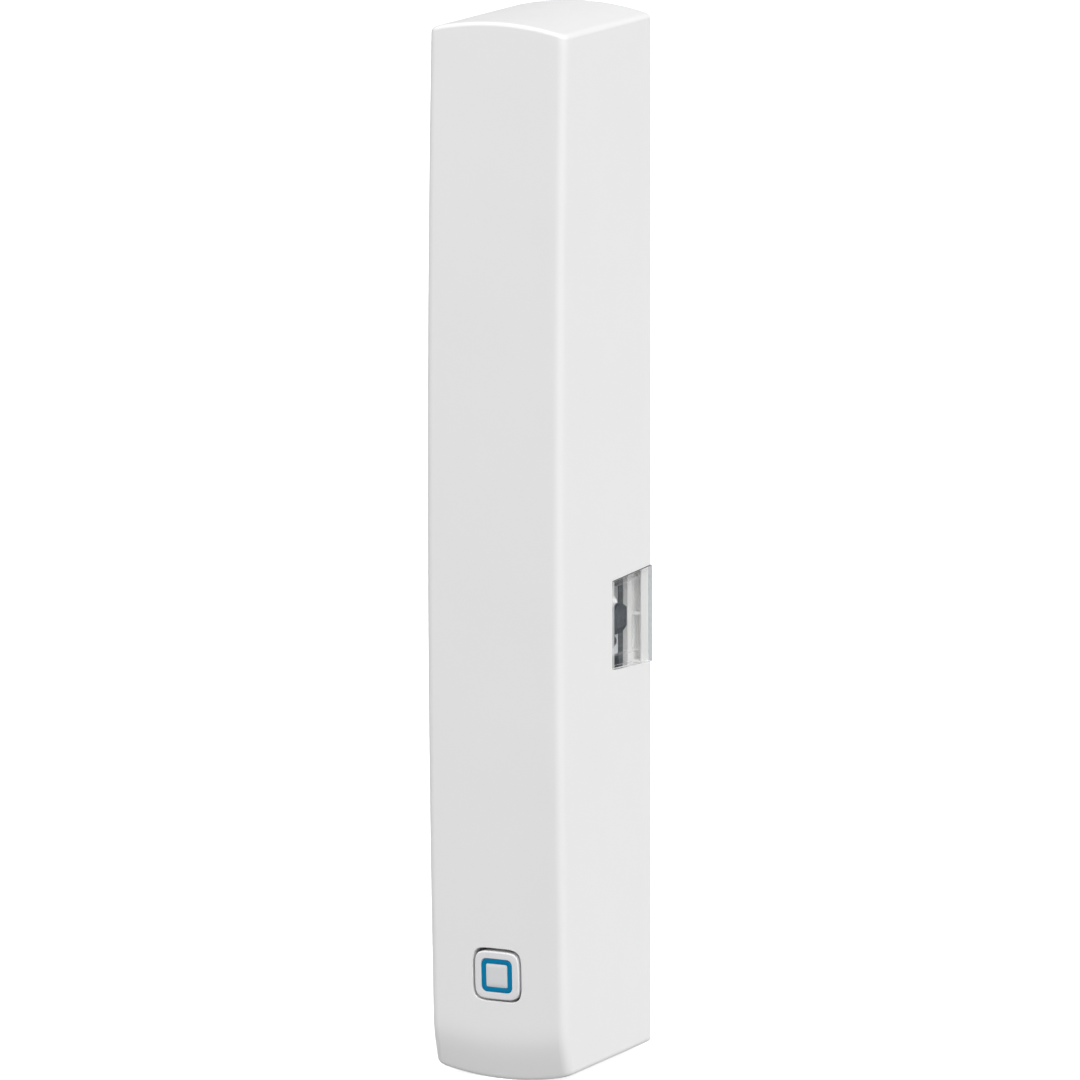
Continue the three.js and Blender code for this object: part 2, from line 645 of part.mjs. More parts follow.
// Barrier between the two elements, with a wide chamfered head beyond the board's edge.
function lightBarrier() {
  const { z, half, frontY: front, rearY: rear, backX, faceX } = BARRIER;
  const upper = { front: 0.95, rear: 1.0, frontDrop: 0.4, rearDrop: 0.55 };
  const lower = { front: 0.25, rear: 0.65, drop: 0.42 };
  const wall = block([2.6, backX + 0.05], [front + 0.3, PCB.frontY - CONTACT_GAP],
    [SENSORS.z - 0.4, SENSORS.z + 0.4]);
  const head = prismX([
    [front + lower.front, z - half],
    [rear - lower.rear, z - half],
    [rear, z - half + lower.drop],
    [rear, z + half - upper.rearDrop],
    [rear - upper.rear, z + half],
    [front + upper.front, z + half],
    [front, z + half - upper.frontDrop],
    [front, z - half + lower.drop],
  ], [backX, faceX]);
  return joined(wall, head);
}

// ---------------------------------------------------------------- battery and contacts

function battery() {
  const group = new THREE.Group();
  group.position.set(0, BATTERY.y, BATTERY.z);
  const { radius, length } = BATTERY;
  const sleeveThickness = 0.15;
  const canRadius = radius - sleeveThickness - CONTACT_GAP;
  const shoulder = length - 1.3;
  add(group, "battery_can", turned([
    [0, 0.3], [canRadius - 0.3, 0.3], [canRadius, 0.6],
    [canRadius, shoulder - 0.3], [canRadius - 0.3, shoulder], [0, shoulder],
  ]), M.steel);
  add(group, "battery_sleeve", turned([
    [radius - sleeveThickness, 0.4], [radius, 0.4], [radius, shoulder - 0.1],
    [radius - sleeveThickness, shoulder - 0.1], [radius - sleeveThickness, 0.4],
  ]), M.sleeve);
  add(group, "battery_negative_cap", turned([
    [0, 0], [3.9, 0], [4.2, 0.15], [4.2, 0.25], [0, 0.25],
  ]), M.nickel);
  add(group, "battery_seal", turned([
    [2.9, shoulder + 0.05], [4.6, shoulder + 0.05], [4.6, shoulder + 0.3],
    [2.9, shoulder + 0.3], [2.9, shoulder + 0.05],
  ]), M.seal);
  add(group, "battery_positive_cap", turned([
    [0, shoulder + 0.05], [2.8, shoulder + 0.05], [2.8, shoulder + 0.3], [1.9, shoulder + 0.4],
    [1.9, length - 0.2], [1.7, length], [0, length],
  ], 32), M.nickel);
  return group;
}

// Flat contact in the holder's end, with a tab through the board.
function contactPlate(z) {
  const depth = [z, z + CONTACTS.thickness];
  const { halfWidth, tabHalf } = CONTACTS;
  const plate = block([-halfWidth, halfWidth], [-14.0, -6.3], depth);
  const tab = block([-tabHalf, tabHalf], [-6.4, PCB.rearY + 0.4], depth);
  return joined(plate, tab);
}

// Conical spring between the negative contact plate and the battery.
class ConicalHelix extends THREE.Curve {
  constructor(turns, lowRadius, highRadius, height) {
    super();
    Object.assign(this, { turns, lowRadius, highRadius, height });
  }

  getPoint(t, target = new THREE.Vector3()) {
    const angle = 2 * Math.PI * this.turns * t;
    const radius = THREE.MathUtils.lerp(this.lowRadius, this.highRadius, t);
    return target.set(radius * Math.cos(angle), radius * Math.sin(angle), this.height * t);
  }
}

function contactSpring() {
  const { turns, lowRadius, highRadius, wire } = SPRING;
  const bottom = CONTACTS.negativeZ + CONTACTS.thickness + CONTACT_GAP + wire;
  const top = BATTERY.z - CONTACT_GAP - wire;
  const path = new ConicalHelix(turns, lowRadius, highRadius, top - bottom);
  const section = new THREE.Shape().absarc(0, 0, wire, 0, 2 * Math.PI);
  const geometry = new THREE.ExtrudeGeometry(section, {
    steps: 52,
    curveSegments: 4,
    bevelEnabled: false,
    extrudePath: path,
  });
  const group = new THREE.Group();
  group.position.set(0, BATTERY.y, bottom);
  add(group, "negative_contact_spring", geometry, M.steel);
  return group;
}

// ---------------------------------------------------------------- assembly

add(root, "front_cap", frontCap(), M.capWhite);
add(root, "base_plate", basePlate(), M.baseWhite);
add(root, "adhesive_strip", adhesiveStrip(), M.foam);
add(root, "sensor_window", sensorWindow(), M.windowClear);
add(root, "battery_holder", batteryHolder(), M.baseWhite);
add(root, "button_tower", buttonTower(), M.baseWhite);

add(root, "button_key", buttonKey(), M.keyWhite);
add(root, "light_guide", lightGuide(), M.ringBlue);
add(root, "key_core", keyCore(), M.keyWhite);

root.add(tactileSwitch("button", KEY_Z, 0));
root.add(tactileSwitch("tamper", TAMPER_Z, PRESS_TRAVEL));

add(root, "main_pcb", circuitBoard(), M.pcb);
BOARD_PARTS.forEach(boardPart);
root.add(bufferCapacitor());
add(root, "antenna_wire", antennaWire(), M.antenna);

root.add(opticalElement("ir_emitter", SENSORS.z + SENSORS.pitch, M.lensClear));
root.add(opticalElement("ir_receiver", SENSORS.z - SENSORS.pitch, M.lensDark));
add(root, "light_barrier", lightBarrier(), M.opticsBlack);

root.add(battery());
add(root, "positive_contact", contactPlate(CONTACTS.positiveZ), M.nickel);
add(root, "negative_contact", contactPlate(CONTACTS.negativeZ), M.nickel);
root.add(contactSpring());

export default root;
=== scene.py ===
"""Looks of a slim wireless window and door contact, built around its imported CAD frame.

Lengths are millimetres in the row frame (+Z up, -Y the visible front) until a mesh is made, which
scales them to metres. Places come from the frame's node boxes.
"""

import math

import bmesh
import bpy
from mathutils import Matrix, Vector


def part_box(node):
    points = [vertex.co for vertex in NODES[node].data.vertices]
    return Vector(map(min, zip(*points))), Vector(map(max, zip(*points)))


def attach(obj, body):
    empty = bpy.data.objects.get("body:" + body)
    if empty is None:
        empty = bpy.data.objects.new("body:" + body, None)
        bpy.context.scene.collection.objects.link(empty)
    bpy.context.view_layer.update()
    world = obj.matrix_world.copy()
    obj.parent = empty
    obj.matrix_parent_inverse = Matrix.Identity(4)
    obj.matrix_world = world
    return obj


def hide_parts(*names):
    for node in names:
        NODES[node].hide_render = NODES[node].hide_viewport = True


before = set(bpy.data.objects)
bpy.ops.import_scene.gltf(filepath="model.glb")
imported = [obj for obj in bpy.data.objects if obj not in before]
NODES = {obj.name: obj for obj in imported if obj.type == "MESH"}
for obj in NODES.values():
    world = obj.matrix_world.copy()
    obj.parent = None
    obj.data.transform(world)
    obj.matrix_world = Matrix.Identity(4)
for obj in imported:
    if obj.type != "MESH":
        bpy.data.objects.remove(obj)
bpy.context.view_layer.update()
MM = 0.001


def box_mm(node):
    """Lowest and highest corner of a CAD node at rest, in millimetres."""
    low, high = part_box(node)
    return low / MM, high / MM


# ---------------------------------------------------------------- sizes read from the frame

CAP_LOW, CAP_HIGH = box_mm("front_cap")
HALF_H = (CAP_HIGH.z - CAP_LOW.z) / 2
HALF_W = (CAP_HIGH.x - CAP_LOW.x) / 2
FRONT_Y = CAP_LOW.y
RIM_Y = CAP_HIGH.y

KEY_LOW, KEY_HIGH = box_mm("button_key")
KEY_Z = (KEY_LOW.z + KEY_HIGH.z) / 2
RING_LOW, RING_HIGH = box_mm("light_guide")
RING_HALF = (RING_HIGH.x - RING_LOW.x) / 2
CORE_REAR_Y = box_mm("key_core")[1].y

WIN_LOW, WIN_HIGH = box_mm("sensor_window")
BOARD_LOW, BOARD_HIGH = box_mm("main_pcb")
BOARD_FRONT = BOARD_LOW.y

# ---------------------------------------------------------------- form of the housing

WALL = 1.2
EDGE_RADIUS = 0.9
END_RADIUS = 0.45
LEAST_RADIUS = 0.3  # the hollow keeps at least this, and this setback
LEAST_SETBACK = 0.1
TOP_SETBACK, BOTTOM_SETBACK = 0.35, 0.12
END_DOME = 0.92
FRONT_CROWN = 1.1
BAND_HEIGHT = 3.5
BAND_SETBACK = 0.75
BAND_SOFTNESS = 0.17  # half the share of the band over which its slope starts
FUSE = 0.4  # how far the ribs and the post reach into the wall that carries them
RIBS_Z = (13, 34)
RIB_HALF_WIDTH, RIB_HALF_HEIGHT, RIB_PLAY = 4.2, 0.6, 0.3

KEY_HALF = 2.36
KEY_HOLE_HALF = 2.6
KEY_HOLE_RAISE = 0.06
KEY_SQUARENESS = 5
KEY_PROUD = 0.08
RING_WIDTH = 0.45
KEY_SIDES = 96  # points round the key and its rings
KEY_EDGE = 0.15
KEY_HEAD_DEPTH = 3.2
KEY_BORE_PLAY, KEY_BORE_CORNER = 0.03, 0.56
FLANGE_HALF, FLANGE_CORNER, FLANGE_DEPTH = 3.05, 0.4, 1.0
GUIDE_LEG_HALF = 0.7
GUIDE_LEG_DEPTH = 3.6  # from the rear of the ring to the end of the leg
STEM_FRONT_Y, CORE_PLATE_REAR_Y = -17.6, -17.5

WINDOW_GAP = 0.08
WINDOW_FOOT_GAP = 0.02  # under the skin, where the seam hardly shows
WINDOW_SKIN = 0.45
WINDOW_Z = -7.85
WINDOW_FRONT_HALF = 4.33
WINDOW_REAR_UP, WINDOW_REAR_DOWN = 4.62, 4.86  # reach at the rim
WINDOW_WALLS = (0.8, 0.78, 1.15)  # front, top and bottom
WINDOW_REAR_WALL = 0.5
WINDOW_STRIP = 0.28  # paler front edge of the skin
WINDOW_LINE = 0.045  # bevel round the skin
# finishes of the tub's faces: the dark top faces are painted shade, the pale pocket faces a painted
# reflection, the pale bevels a painted highlight
WINDOW_FINISHES = ("clear", "edge", "end", "under", "seam", "line", "strip")

PLATE_FRONT = -1.8
PLATE_GAP = 0.1
SENSOR_Z = -8.22

# Head of the barrier: chamfers along y, and how far they drop along z.
HEAD_REAR_Y = -4.02
HEAD_TOP_FRONT, HEAD_TOP_REAR = (0.95, 0.8), (1.0, 0.55)
HEAD_FOOT_FRONT, HEAD_FOOT_REAR, HEAD_FOOT_DROP = 0.25, 0.65, 0.42
HEAD_DEPTH, HEAD_RIM = 0.35, 0.2
HEAD_LIFT = 0.62  # the front face starts this far above the foot
BARRIER_WALL_HALF = 0.4

LENS_STANDOFF = 0.52  # of the window side of the CAD lens from its package
LENS_COLLAR, LENS_COLLAR_HEIGHT = 0.12, 0.06

# Package material, lens material, lens radius and rise of the lens.
OPTICAL_ELEMENTS = {
    "ir_emitter": ("package_dark", "lens_clear", 0.54, 0.4),
    "ir_receiver": ("package_grey", "lens_dark", 0.52, 0.32),
}


def soft_ramp(t):
    """0 below zero and t above it, with a parabola joining the two."""
    w = BAND_SOFTNESS
    if t <= -w:
        return 0.0
    if t >= w:
        return t
    return (t + w) ** 2 / (4 * w)


def front_y(z):
    """y of the front face at height z."""
    share = z / HALF_H
    band = soft_ramp((BAND_HEIGHT - HALF_H - z) / BAND_HEIGHT)
    return FRONT_Y + FRONT_CROWN * share * share + BAND_SETBACK * band


def dome_drop(x, z):
    """How far the domed ends fall at x, for a point at height z."""
    across, along = x / HALF_W, z / HALF_H
    return END_DOME * across * across * along * abs(along)


# ---------------------------------------------------------------- mesh tools


def loft(rings, caps=(True, True), wrap=False):
    """Points and faces of a skin through rings that all have the same number of points."""
    count = len(rings[0])
    points = [p for ring in rings for p in ring]
    faces = []
    for i in range(len(rings) if wrap else len(rings) - 1):
        a, b = i * count, (i + 1) % len(rings) * count
        for j in range(count):
            k = (j + 1) % count
            faces.append((a + j, a + k, b + k, b + j))
    if not wrap and caps[0]:
        faces.append(tuple(reversed(range(count))))
    if not wrap and caps[1]:
        faces.append(tuple(range(len(points) - count, len(points))))
    return points, faces


def brick(low, high):
    """Points and faces of a plain box, to be rounded by a bevel."""
    (x0, y0, z0), (x1, y1, z1) = low, high
    lower = [(x0, y0, z0), (x1, y0, z0), (x1, y1, z0), (x0, y1, z0)]
    return loft([lower, [(x, y, z1) for x, y, _ in lower]])


def turned(profile, sides, place):
    """Closed body of revolution from (radius, height) pairs; place maps (x, y, height) to a point."""
    rings = []
    for radius, height in profile:
        turn = [2 * math.pi * i / sides for i in range(sides)]
        rings.append([place(radius * math.cos(a), radius * math.sin(a), height) for a in turn])
    return loft(rings)


def sideways(x, y, z):
    """Places a turned body's axis along +X."""
    return lambda u, v, h: (x + h, y + u, z + v)


def object_from(name, parts, angle=32):
    """One mesh object from (points, faces) parts, with outward normals and smooth shading."""
    bm = bmesh.new()
    for points, faces in parts:
        verts = [bm.verts.new(Vector(p) * MM) for p in points]
        for face in faces:
            bm.faces.new([verts[i] for i in face])
    bmesh.ops.remove_doubles(bm, verts=bm.verts, dist=1e-8)
    bmesh.ops.recalc_face_normals(bm, faces=bm.faces)
    mesh = bpy.data.meshes.new(name)
    bm.to_mesh(mesh)
    bm.free()
    mesh.shade_smooth()
    mesh.set_sharp_from_angle(angle=math.radians(angle))
    made = bpy.data.objects.new(name, mesh)
    bpy.context.scene.collection.objects.link(made)
    return made


def bake_modifiers(made, angle=32):
    """Turns an object's modified form into its mesh."""
    graph = bpy.context.evaluated_depsgraph_get()
    mesh = bpy.data.meshes.new_from_object(made.evaluated_get(graph))
    made.modifiers.clear()
    made.data = mesh
    mesh.shade_smooth()
    mesh.set_sharp_from_angle(angle=math.radians(angle))


def combine(made, operation, *tools):
    """Joins tools to an object, or cuts them from it, and removes them."""
    for tool in tools:
        modifier = made.modifiers.new("combine", "BOOLEAN")
        modifier.operation = operation
        modifier.solver = "EXACT"
        modifier.object = tool
    bpy.context.view_layer.update()
    bake_modifiers(made)
    for tool in tools:
        bpy.data.objects.remove(tool)
    return made


def soften(made, width, segments=2, angle=35):
    """Rounds an object's edges, in millimetres."""
    bevel = made.modifiers.new("edges", "BEVEL")
    bevel.width = width * MM
    bevel.segments = segments
    bevel.limit_method = "ANGLE"
    bevel.angle_limit = math.radians(angle)
    bevel.harden_normals = False
    even_shading(made)
    return made


def even_shading(made):
    """Leans the shading towards the large faces, so flat areas stay flat beside a bevel."""
    weighted = made.modifiers.new("shading", "WEIGHTED_NORMAL")
    weighted.keep_sharp = True
    weighted.weight = 60


def finish_piece(made, body, material, slot, *replaced):
    """Gives a piece its material, its body and the CAD nodes that it stands for."""
    made.data.materials.clear()
    made.data.materials.append(material)
    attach(made, body)
    if replaced:
        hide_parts(*replaced)
    return made


# ---------------------------------------------------------------- outlines


def squircle_reach(angle, half):
    """Distance from the centre to the edge of the key's soft square."""
    c, s = abs(math.cos(angle)), abs(math.sin(angle))
    return half / (c**KEY_SQUARENESS + s**KEY_SQUARENESS) ** (1 / KEY_SQUARENESS)


def rounded_reach(angle, half, radius):
    """Distance from the centre to the edge of a square with arc corners."""
    c, s = abs(math.cos(angle)), abs(math.sin(angle))
    if min(c, s) * half <= (half - radius) * max(c, s):
        return half / max(c, s)
    centre = half - radius
    along = centre * (c + s)
    return along + math.sqrt(max(along * along - 2 * centre * centre + radius * radius, 0))


TURN = [2 * math.pi * i / KEY_SIDES for i in range(KEY_SIDES)]


def face_ring(reach, depth, follow=True):
    """Points round the key's axis, at a depth behind the housing's front face."""
    ring = []
    for angle, distance in zip(TURN, reach):
        x, z = distance * math.cos(angle), KEY_Z + distance * math.sin(angle)
        ring.append((x, front_y(z if follow else KEY_Z) + depth, z))
    return ring


def squircle_ring(half, depth):
    """Ring of the key's soft square."""
    return face_ring([squircle_reach(a, half) for a in TURN], depth)


def square_ring(half, radius, depth, follow=True):
    """Ring of a square with arc corners."""
    return face_ring([rounded_reach(a, half, radius) for a in TURN], depth, follow)


def window_outline(rear_y, front=0.0, top=None, bottom=None):
    """Side outline of the sensor window up to rear_y, set in from its notch."""
    top = front if top is None else top
    bottom = front if bottom is None else bottom
    notch_front = WIN_LOW.y - WINDOW_GAP
    front_edge = notch_front + front

    def reach(y, rear_half):
        """Half height of the notch at y."""
        share = (y - notch_front) / (RIM_Y - notch_front)
        return WINDOW_FRONT_HALF + (rear_half - WINDOW_FRONT_HALF) * share

    def low_z(y):
        return WINDOW_Z - reach(y, WINDOW_REAR_DOWN) + bottom

    def high_z(y):
        return WINDOW_Z + reach(y, WINDOW_REAR_UP) - top

    return [
        (front_edge, low_z(front_edge)),
        (rear_y, low_z(rear_y)),
        (rear_y, high_z(rear_y)),
        (front_edge, high_z(front_edge)),
    ]


def slab_x(outline, x0, x1):
    """Closed slab of a side outline between two places in x."""
    return loft([[(x, y, z) for y, z in outline] for x in (x0, x1)])


# ---------------------------------------------------------------- materials


def new_material(name):
    """A material with its nodes, links and shader."""
    material = bpy.data.materials.new(name)
    material.use_nodes = True
    nodes = material.node_tree.nodes
    return material, nodes, material.node_tree.links, nodes["Principled BSDF"]


def noise(nodes, links, coordinates, scale, detail=3.0, roughness=0.55):
    """Noise value at coordinates; scale is in cells to the metre."""
    made = nodes.new("ShaderNodeTexNoise")
    made.inputs["Scale"].default_value = scale
    made.inputs["Detail"].default_value = detail
    made.inputs["Roughness"].default_value = roughness
    links.new(coordinates, made.inputs["Vector"])
    return made.outputs["Fac"]


def spread(nodes, links, value, low, high):
    """Maps a noise value round its middle to a range."""
    made = nodes.new("ShaderNodeMapRange")
    made.inputs["From Min"].default_value = 0.3
    made.inputs["From Max"].default_value = 0.7
    made.inputs["To Min"].default_value = low
    made.inputs["To Max"].default_value = high
    links.new(value, made.inputs["Value"])
    return made.outputs["Result"]


def tint(nodes, links, factor, first, second):
    """Mixes two colours by a factor."""
    made = nodes.new("ShaderNodeMix")
    made.data_type = "RGBA"
    made.inputs["A"].default_value = (*first, 1)
    made.inputs["B"].default_value = (*second, 1)
    links.new(factor, made.inputs["Factor"])
    return made.outputs["Result"]


def bump(nodes, links, height, strength, distance_mm, target):
    """Gives a shader a relief from a height value."""
    made = nodes.new("ShaderNodeBump")
    made.inputs["Strength"].default_value = strength
    made.inputs["Distance"].default_value = distance_mm * MM
    links.new(height, made.inputs["Height"])
    links.new(made.outputs["Normal"], target.inputs["Normal"])


def moulded(
    name, color, roughness, grain=0.12, strength=0.1, variation=0.015, metallic=0.0, specular=0.5
):
    """Moulded plastic or plain metal: faint blotches in colour, uneven gloss and a fine grain, in mm."""
    material, nodes, links, shader = new_material(name)
    coordinates = nodes.new("ShaderNodeTexCoord").outputs["Object"]
    blotches = noise(nodes, links, coordinates, 1 / (9 * MM), 2)
    darker = tuple(c * (1 - variation) for c in color)
    lighter = tuple(min(c * (1 + variation), 1) for c in color)
    shade = tint(nodes, links, spread(nodes, links, blotches, 0, 1), darker, lighter)
    links.new(shade, shader.inputs["Base Color"])
    gloss = noise(nodes, links, coordinates, 1 / (2.5 * MM), 3)
    links.new(
        spread(nodes, links, gloss, roughness * 0.88, roughness * 1.12), shader.inputs["Roughness"]
    )
    grains = noise(nodes, links, coordinates, 1 / (grain * MM), 2)
    bump(nodes, links, grains, strength, grain * 0.1, shader)
    shader.inputs["Metallic"].default_value = metallic
    shader.inputs["Specular IOR Level"].default_value = specular
    return material


def clear(name, color, alpha, roughness=0.08):
    """Clear moulded plastic seen almost straight through, with a faint unevenness in its surface."""
    material, nodes, links, shader = new_material(name)
    coordinates = nodes.new("ShaderNodeTexCoord").outputs["Object"]
    waves = noise(nodes, links, coordinates, 1 / (1.5 * MM), 2)
    links.new(
        tint(nodes, links, waves, color, tuple(c * 0.97 for c in color)), shader.inputs["Base Color"]
    )
    shader.inputs["Roughness"].default_value = roughness
    shader.inputs["Alpha"].default_value = alpha
    bump(nodes, links, waves, 0.15, 0.01, shader)
    return material


def speckled(name, color, light, roughness, size):
    """Filled plastic with fine lighter specks."""
    material, nodes, links, shader = new_material(name)
    coordinates = nodes.new("ShaderNodeTexCoord").outputs["Object"]
    specks = noise(nodes, links, coordinates, 1 / (size * MM), 4, 0.7)
    links.new(
        tint(nodes, links, spread(nodes, links, specks, 0, 1), color, light),
        shader.inputs["Base Color"],
    )
    shader.inputs["Roughness"].default_value = roughness
    bump(nodes, links, specks, 0.35, 0.03, shader)
    return material


def brushed(name, color, roughness, stretch=(1, 1, 12)):
    """Metal with fine drawn lines along one axis."""
    material, nodes, links, shader = new_material(name)
    coordinates = nodes.new("ShaderNodeTexCoord").outputs["Object"]
    mapping = nodes.new("ShaderNodeMapping")
    mapping.inputs["Scale"].default_value = tuple(1 / s for s in stretch)
    links.new(coordinates, mapping.inputs["Vector"])
    lines = noise(nodes, links, mapping.outputs["Vector"], 1 / (0.12 * MM), 3)
    links.new(
        tint(nodes, links, lines, tuple(c * 0.9 for c in color), color), shader.inputs["Base Color"]
    )
    links.new(
        spread(nodes, links, lines, roughness * 0.75, roughness * 1.3), shader.inputs["Roughness"]
    )
    shader.inputs["Metallic"].default_value = 1.0
    bump(nodes, links, lines, 0.12, 0.01, shader)
    return material


def board_material():
    """Dark solder mask over faint copper tracks, on a laminate."""
    material, nodes, links, shader = new_material("pcb_laminate")
    coordinates = nodes.new("ShaderNodeTexCoord").outputs["Object"]
    swap = nodes.new("ShaderNodeMapping")
    swap.inputs["Rotation"].default_value = (math.radians(90), 0, 0)
    links.new(coordinates, swap.inputs["Vector"])
    tracks = nodes.new("ShaderNodeTexBrick")
    tracks.inputs["Scale"].default_value = 1 / (2.4 * MM)
    tracks.inputs["Mortar Size"].default_value = 0.05
    tracks.inputs["Mortar Smooth"].default_value = 0.1
    tracks.offset = 0.37
    tracks.inputs["Brick Width"].default_value = 0.9
    tracks.inputs["Row Height"].default_value = 0.45
    links.new(swap.outputs["Vector"], tracks.inputs["Vector"])
    mask, track = (0.030, 0.036, 0.040), (0.052, 0.066, 0.070)
    links.new(tint(nodes, links, tracks.outputs["Fac"], mask, track), shader.inputs["Base Color"])
    shader.inputs["Roughness"].default_value = 0.3
    bump(nodes, links, tracks.outputs["Fac"], 0.4, 0.02, shader)
    return material


def foam_material():
    """Pale foam with fine cells."""
    material, nodes, links, shader = new_material("adhesive_foam")
    coordinates = nodes.new("ShaderNodeTexCoord").outputs["Object"]
    cells = nodes.new("ShaderNodeTexVoronoi")
    cells.inputs["Scale"].default_value = 1 / (0.35 * MM)
    links.new(coordinates, cells.inputs["Vector"])
    pale, paler = (0.72, 0.71, 0.67), (0.84, 0.83, 0.80)
    links.new(tint(nodes, links, cells.outputs["Distance"], pale, paler), shader.inputs["Base Color"])
    shader.inputs["Roughness"].default_value = 0.85
    bump(nodes, links, cells.outputs["Distance"], 0.5, 0.05, shader)
    return material


def sleeve_material(low, high):
    """Printed cell sleeve: a dark body with a paler band at its positive end, and no lettering."""
    material, nodes, links, shader = new_material("battery_sleeve")
    coordinates = nodes.new("ShaderNodeTexCoord").outputs["Object"]
    split = nodes.new("ShaderNodeSeparateXYZ")
    links.new(coordinates, split.inputs["Vector"])
    band = nodes.new("ShaderNodeMapRange")
    edge = (low + (high - low) * 0.74) * MM
    band.inputs["From Min"].default_value = edge
    band.inputs["From Max"].default_value = edge + 0.05 * MM
    links.new(split.outputs["Z"], band.inputs["Value"])
    wear = noise(nodes, links, coordinates, 1 / (1.2 * MM), 4)
    blue = tint(nodes, links, wear, (0.030, 0.105, 0.235), (0.036, 0.122, 0.262))
    pale = tint(nodes, links, wear, (0.60, 0.61, 0.62), (0.66, 0.67, 0.68))
    both = nodes.new("ShaderNodeMix")
    both.data_type = "RGBA"
    links.new(blue, both.inputs["A"])
    links.new(pale, both.inputs["B"])
    links.new(band.outputs["Result"], both.inputs["Factor"])
    links.new(both.outputs["Result"], shader.inputs["Base Color"])
    shader.inputs["Roughness"].default_value = 0.3
    shader.inputs["Coat Weight"].default_value = 0.4
    shader.inputs["Coat Roughness"].default_value = 0.12
    return material


SLEEVE_LOW, SLEEVE_HIGH = box_mm("battery_sleeve")

M = {
    "cap_white": moulded("cap_white", (0.80, 0.80, 0.80), 0.36, 0.16, 0.05, 0.006),
    "base_white": moulded("base_white", (0.74, 0.74, 0.73), 0.5, 0.12, 0.14),
    "key_white": moulded("key_white", (0.74, 0.735, 0.75), 0.3, 0.1, 0.04, 0.006),
    "core_white": moulded("core_white", (0.67, 0.68, 0.69), 0.34, 0.1, 0.05, 0.006),
    "ring_blue": moulded("ring_blue", (0.0, 0.18, 0.36), 0.4, 0.1, 0.05, 0.03, specular=0.15),
    "window_clear": clear("window_clear", (0.40, 0.44, 0.48), 0.04),
    # pocket faces: paler and less clear than the skin, a painted reflection of the clear walls seen
    # edge-on
    "window_edge": clear("window_edge", (0.78, 0.78, 0.77), 0.3),
    "window_under": moulded("window_under", (0.86, 0.87, 0.87), 0.04, 0.5, 0.02, 0.01, 1.0),
    # painted shade: near-black, nearly opaque top faces of the skin, standing in for the shade in the
    # gap above the window
    "window_seam": clear("window_seam", (0.03, 0.03, 0.034), 0.95, 0.5),
    # pale bevels round the skin: a painted highlight along its edges
    "window_line": clear("window_line", (0.70, 0.70, 0.70), 0.5),
    "window_strip": clear("window_strip", (0.66, 0.67, 0.68), 0.7),
    "window_end": clear("window_end", (0.37, 0.405, 0.44), 0.85),
    "lens_clear": clear("lens_clear", (0.95, 0.96, 0.97), 0.9),
    "lens_dark": moulded("lens_dark", (0.012, 0.013, 0.017), 0.12, 0.2, 0.02),
    "package_grey": moulded("package_grey", (0.52, 0.54, 0.56), 0.35, 0.1, 0.1),
    "package_dark": moulded("package_dark", (0.27, 0.27, 0.27), 0.45, 0.1, 0.1),
    "optics_black": speckled("optics_black", (0.002, 0.004, 0.007), (0.060, 0.074, 0.088), 0.62, 0.34),
    # darker copy of the barrier's black for its downward chamfers: painted shade
    "optics_painted_shade": speckled("optics_painted_shade", (0.006, 0.009, 0.012), (0.018, 0.023, 0.028), 0.7, 0.34),
    "pcb_laminate": board_material(),
    "chip_black": speckled("chip_black", (0.012, 0.012, 0.013), (0.024, 0.024, 0.025), 0.5, 0.09),
    "spring_steel": brushed("spring_steel", (0.58, 0.58, 0.57), 0.3),
    "nickel_plate": brushed("nickel_plate", (0.72, 0.70, 0.65), 0.2, (1, 1, 4)),
    "battery_sleeve": sleeve_material(SLEEVE_LOW.z, SLEEVE_HIGH.z),
    "seal_black": moulded("seal_black", (0.02, 0.02, 0.021), 0.6, 0.1, 0.2),
    "led_white": moulded("led_white", (0.78, 0.76, 0.62), 0.35, 0.08, 0.1),
    "adhesive_foam": foam_material(),
    "antenna_insulation": moulded("antenna_insulation", (0.25, 0.255, 0.265), 0.5, 0.15, 0.15),
    "ferrite_grey": speckled("ferrite_grey", (0.05, 0.05, 0.052), (0.08, 0.08, 0.083), 0.7, 0.1),
    "solder": moulded("solder", (0.62, 0.62, 0.60), 0.28, 0.3, 0.4, 0.05, 1.0),
    "resistor_ceramic": moulded("resistor_ceramic", (0.03, 0.03, 0.035), 0.35, 0.08, 0.15),
    "capacitor_ceramic": moulded("capacitor_ceramic", (0.33, 0.235, 0.15), 0.4, 0.08, 0.2),
}

# ---------------------------------------------------------------- front cap

CORNER_STEPS = 10
ACROSS_STEPS = 20
ALONG_STEPS = 84


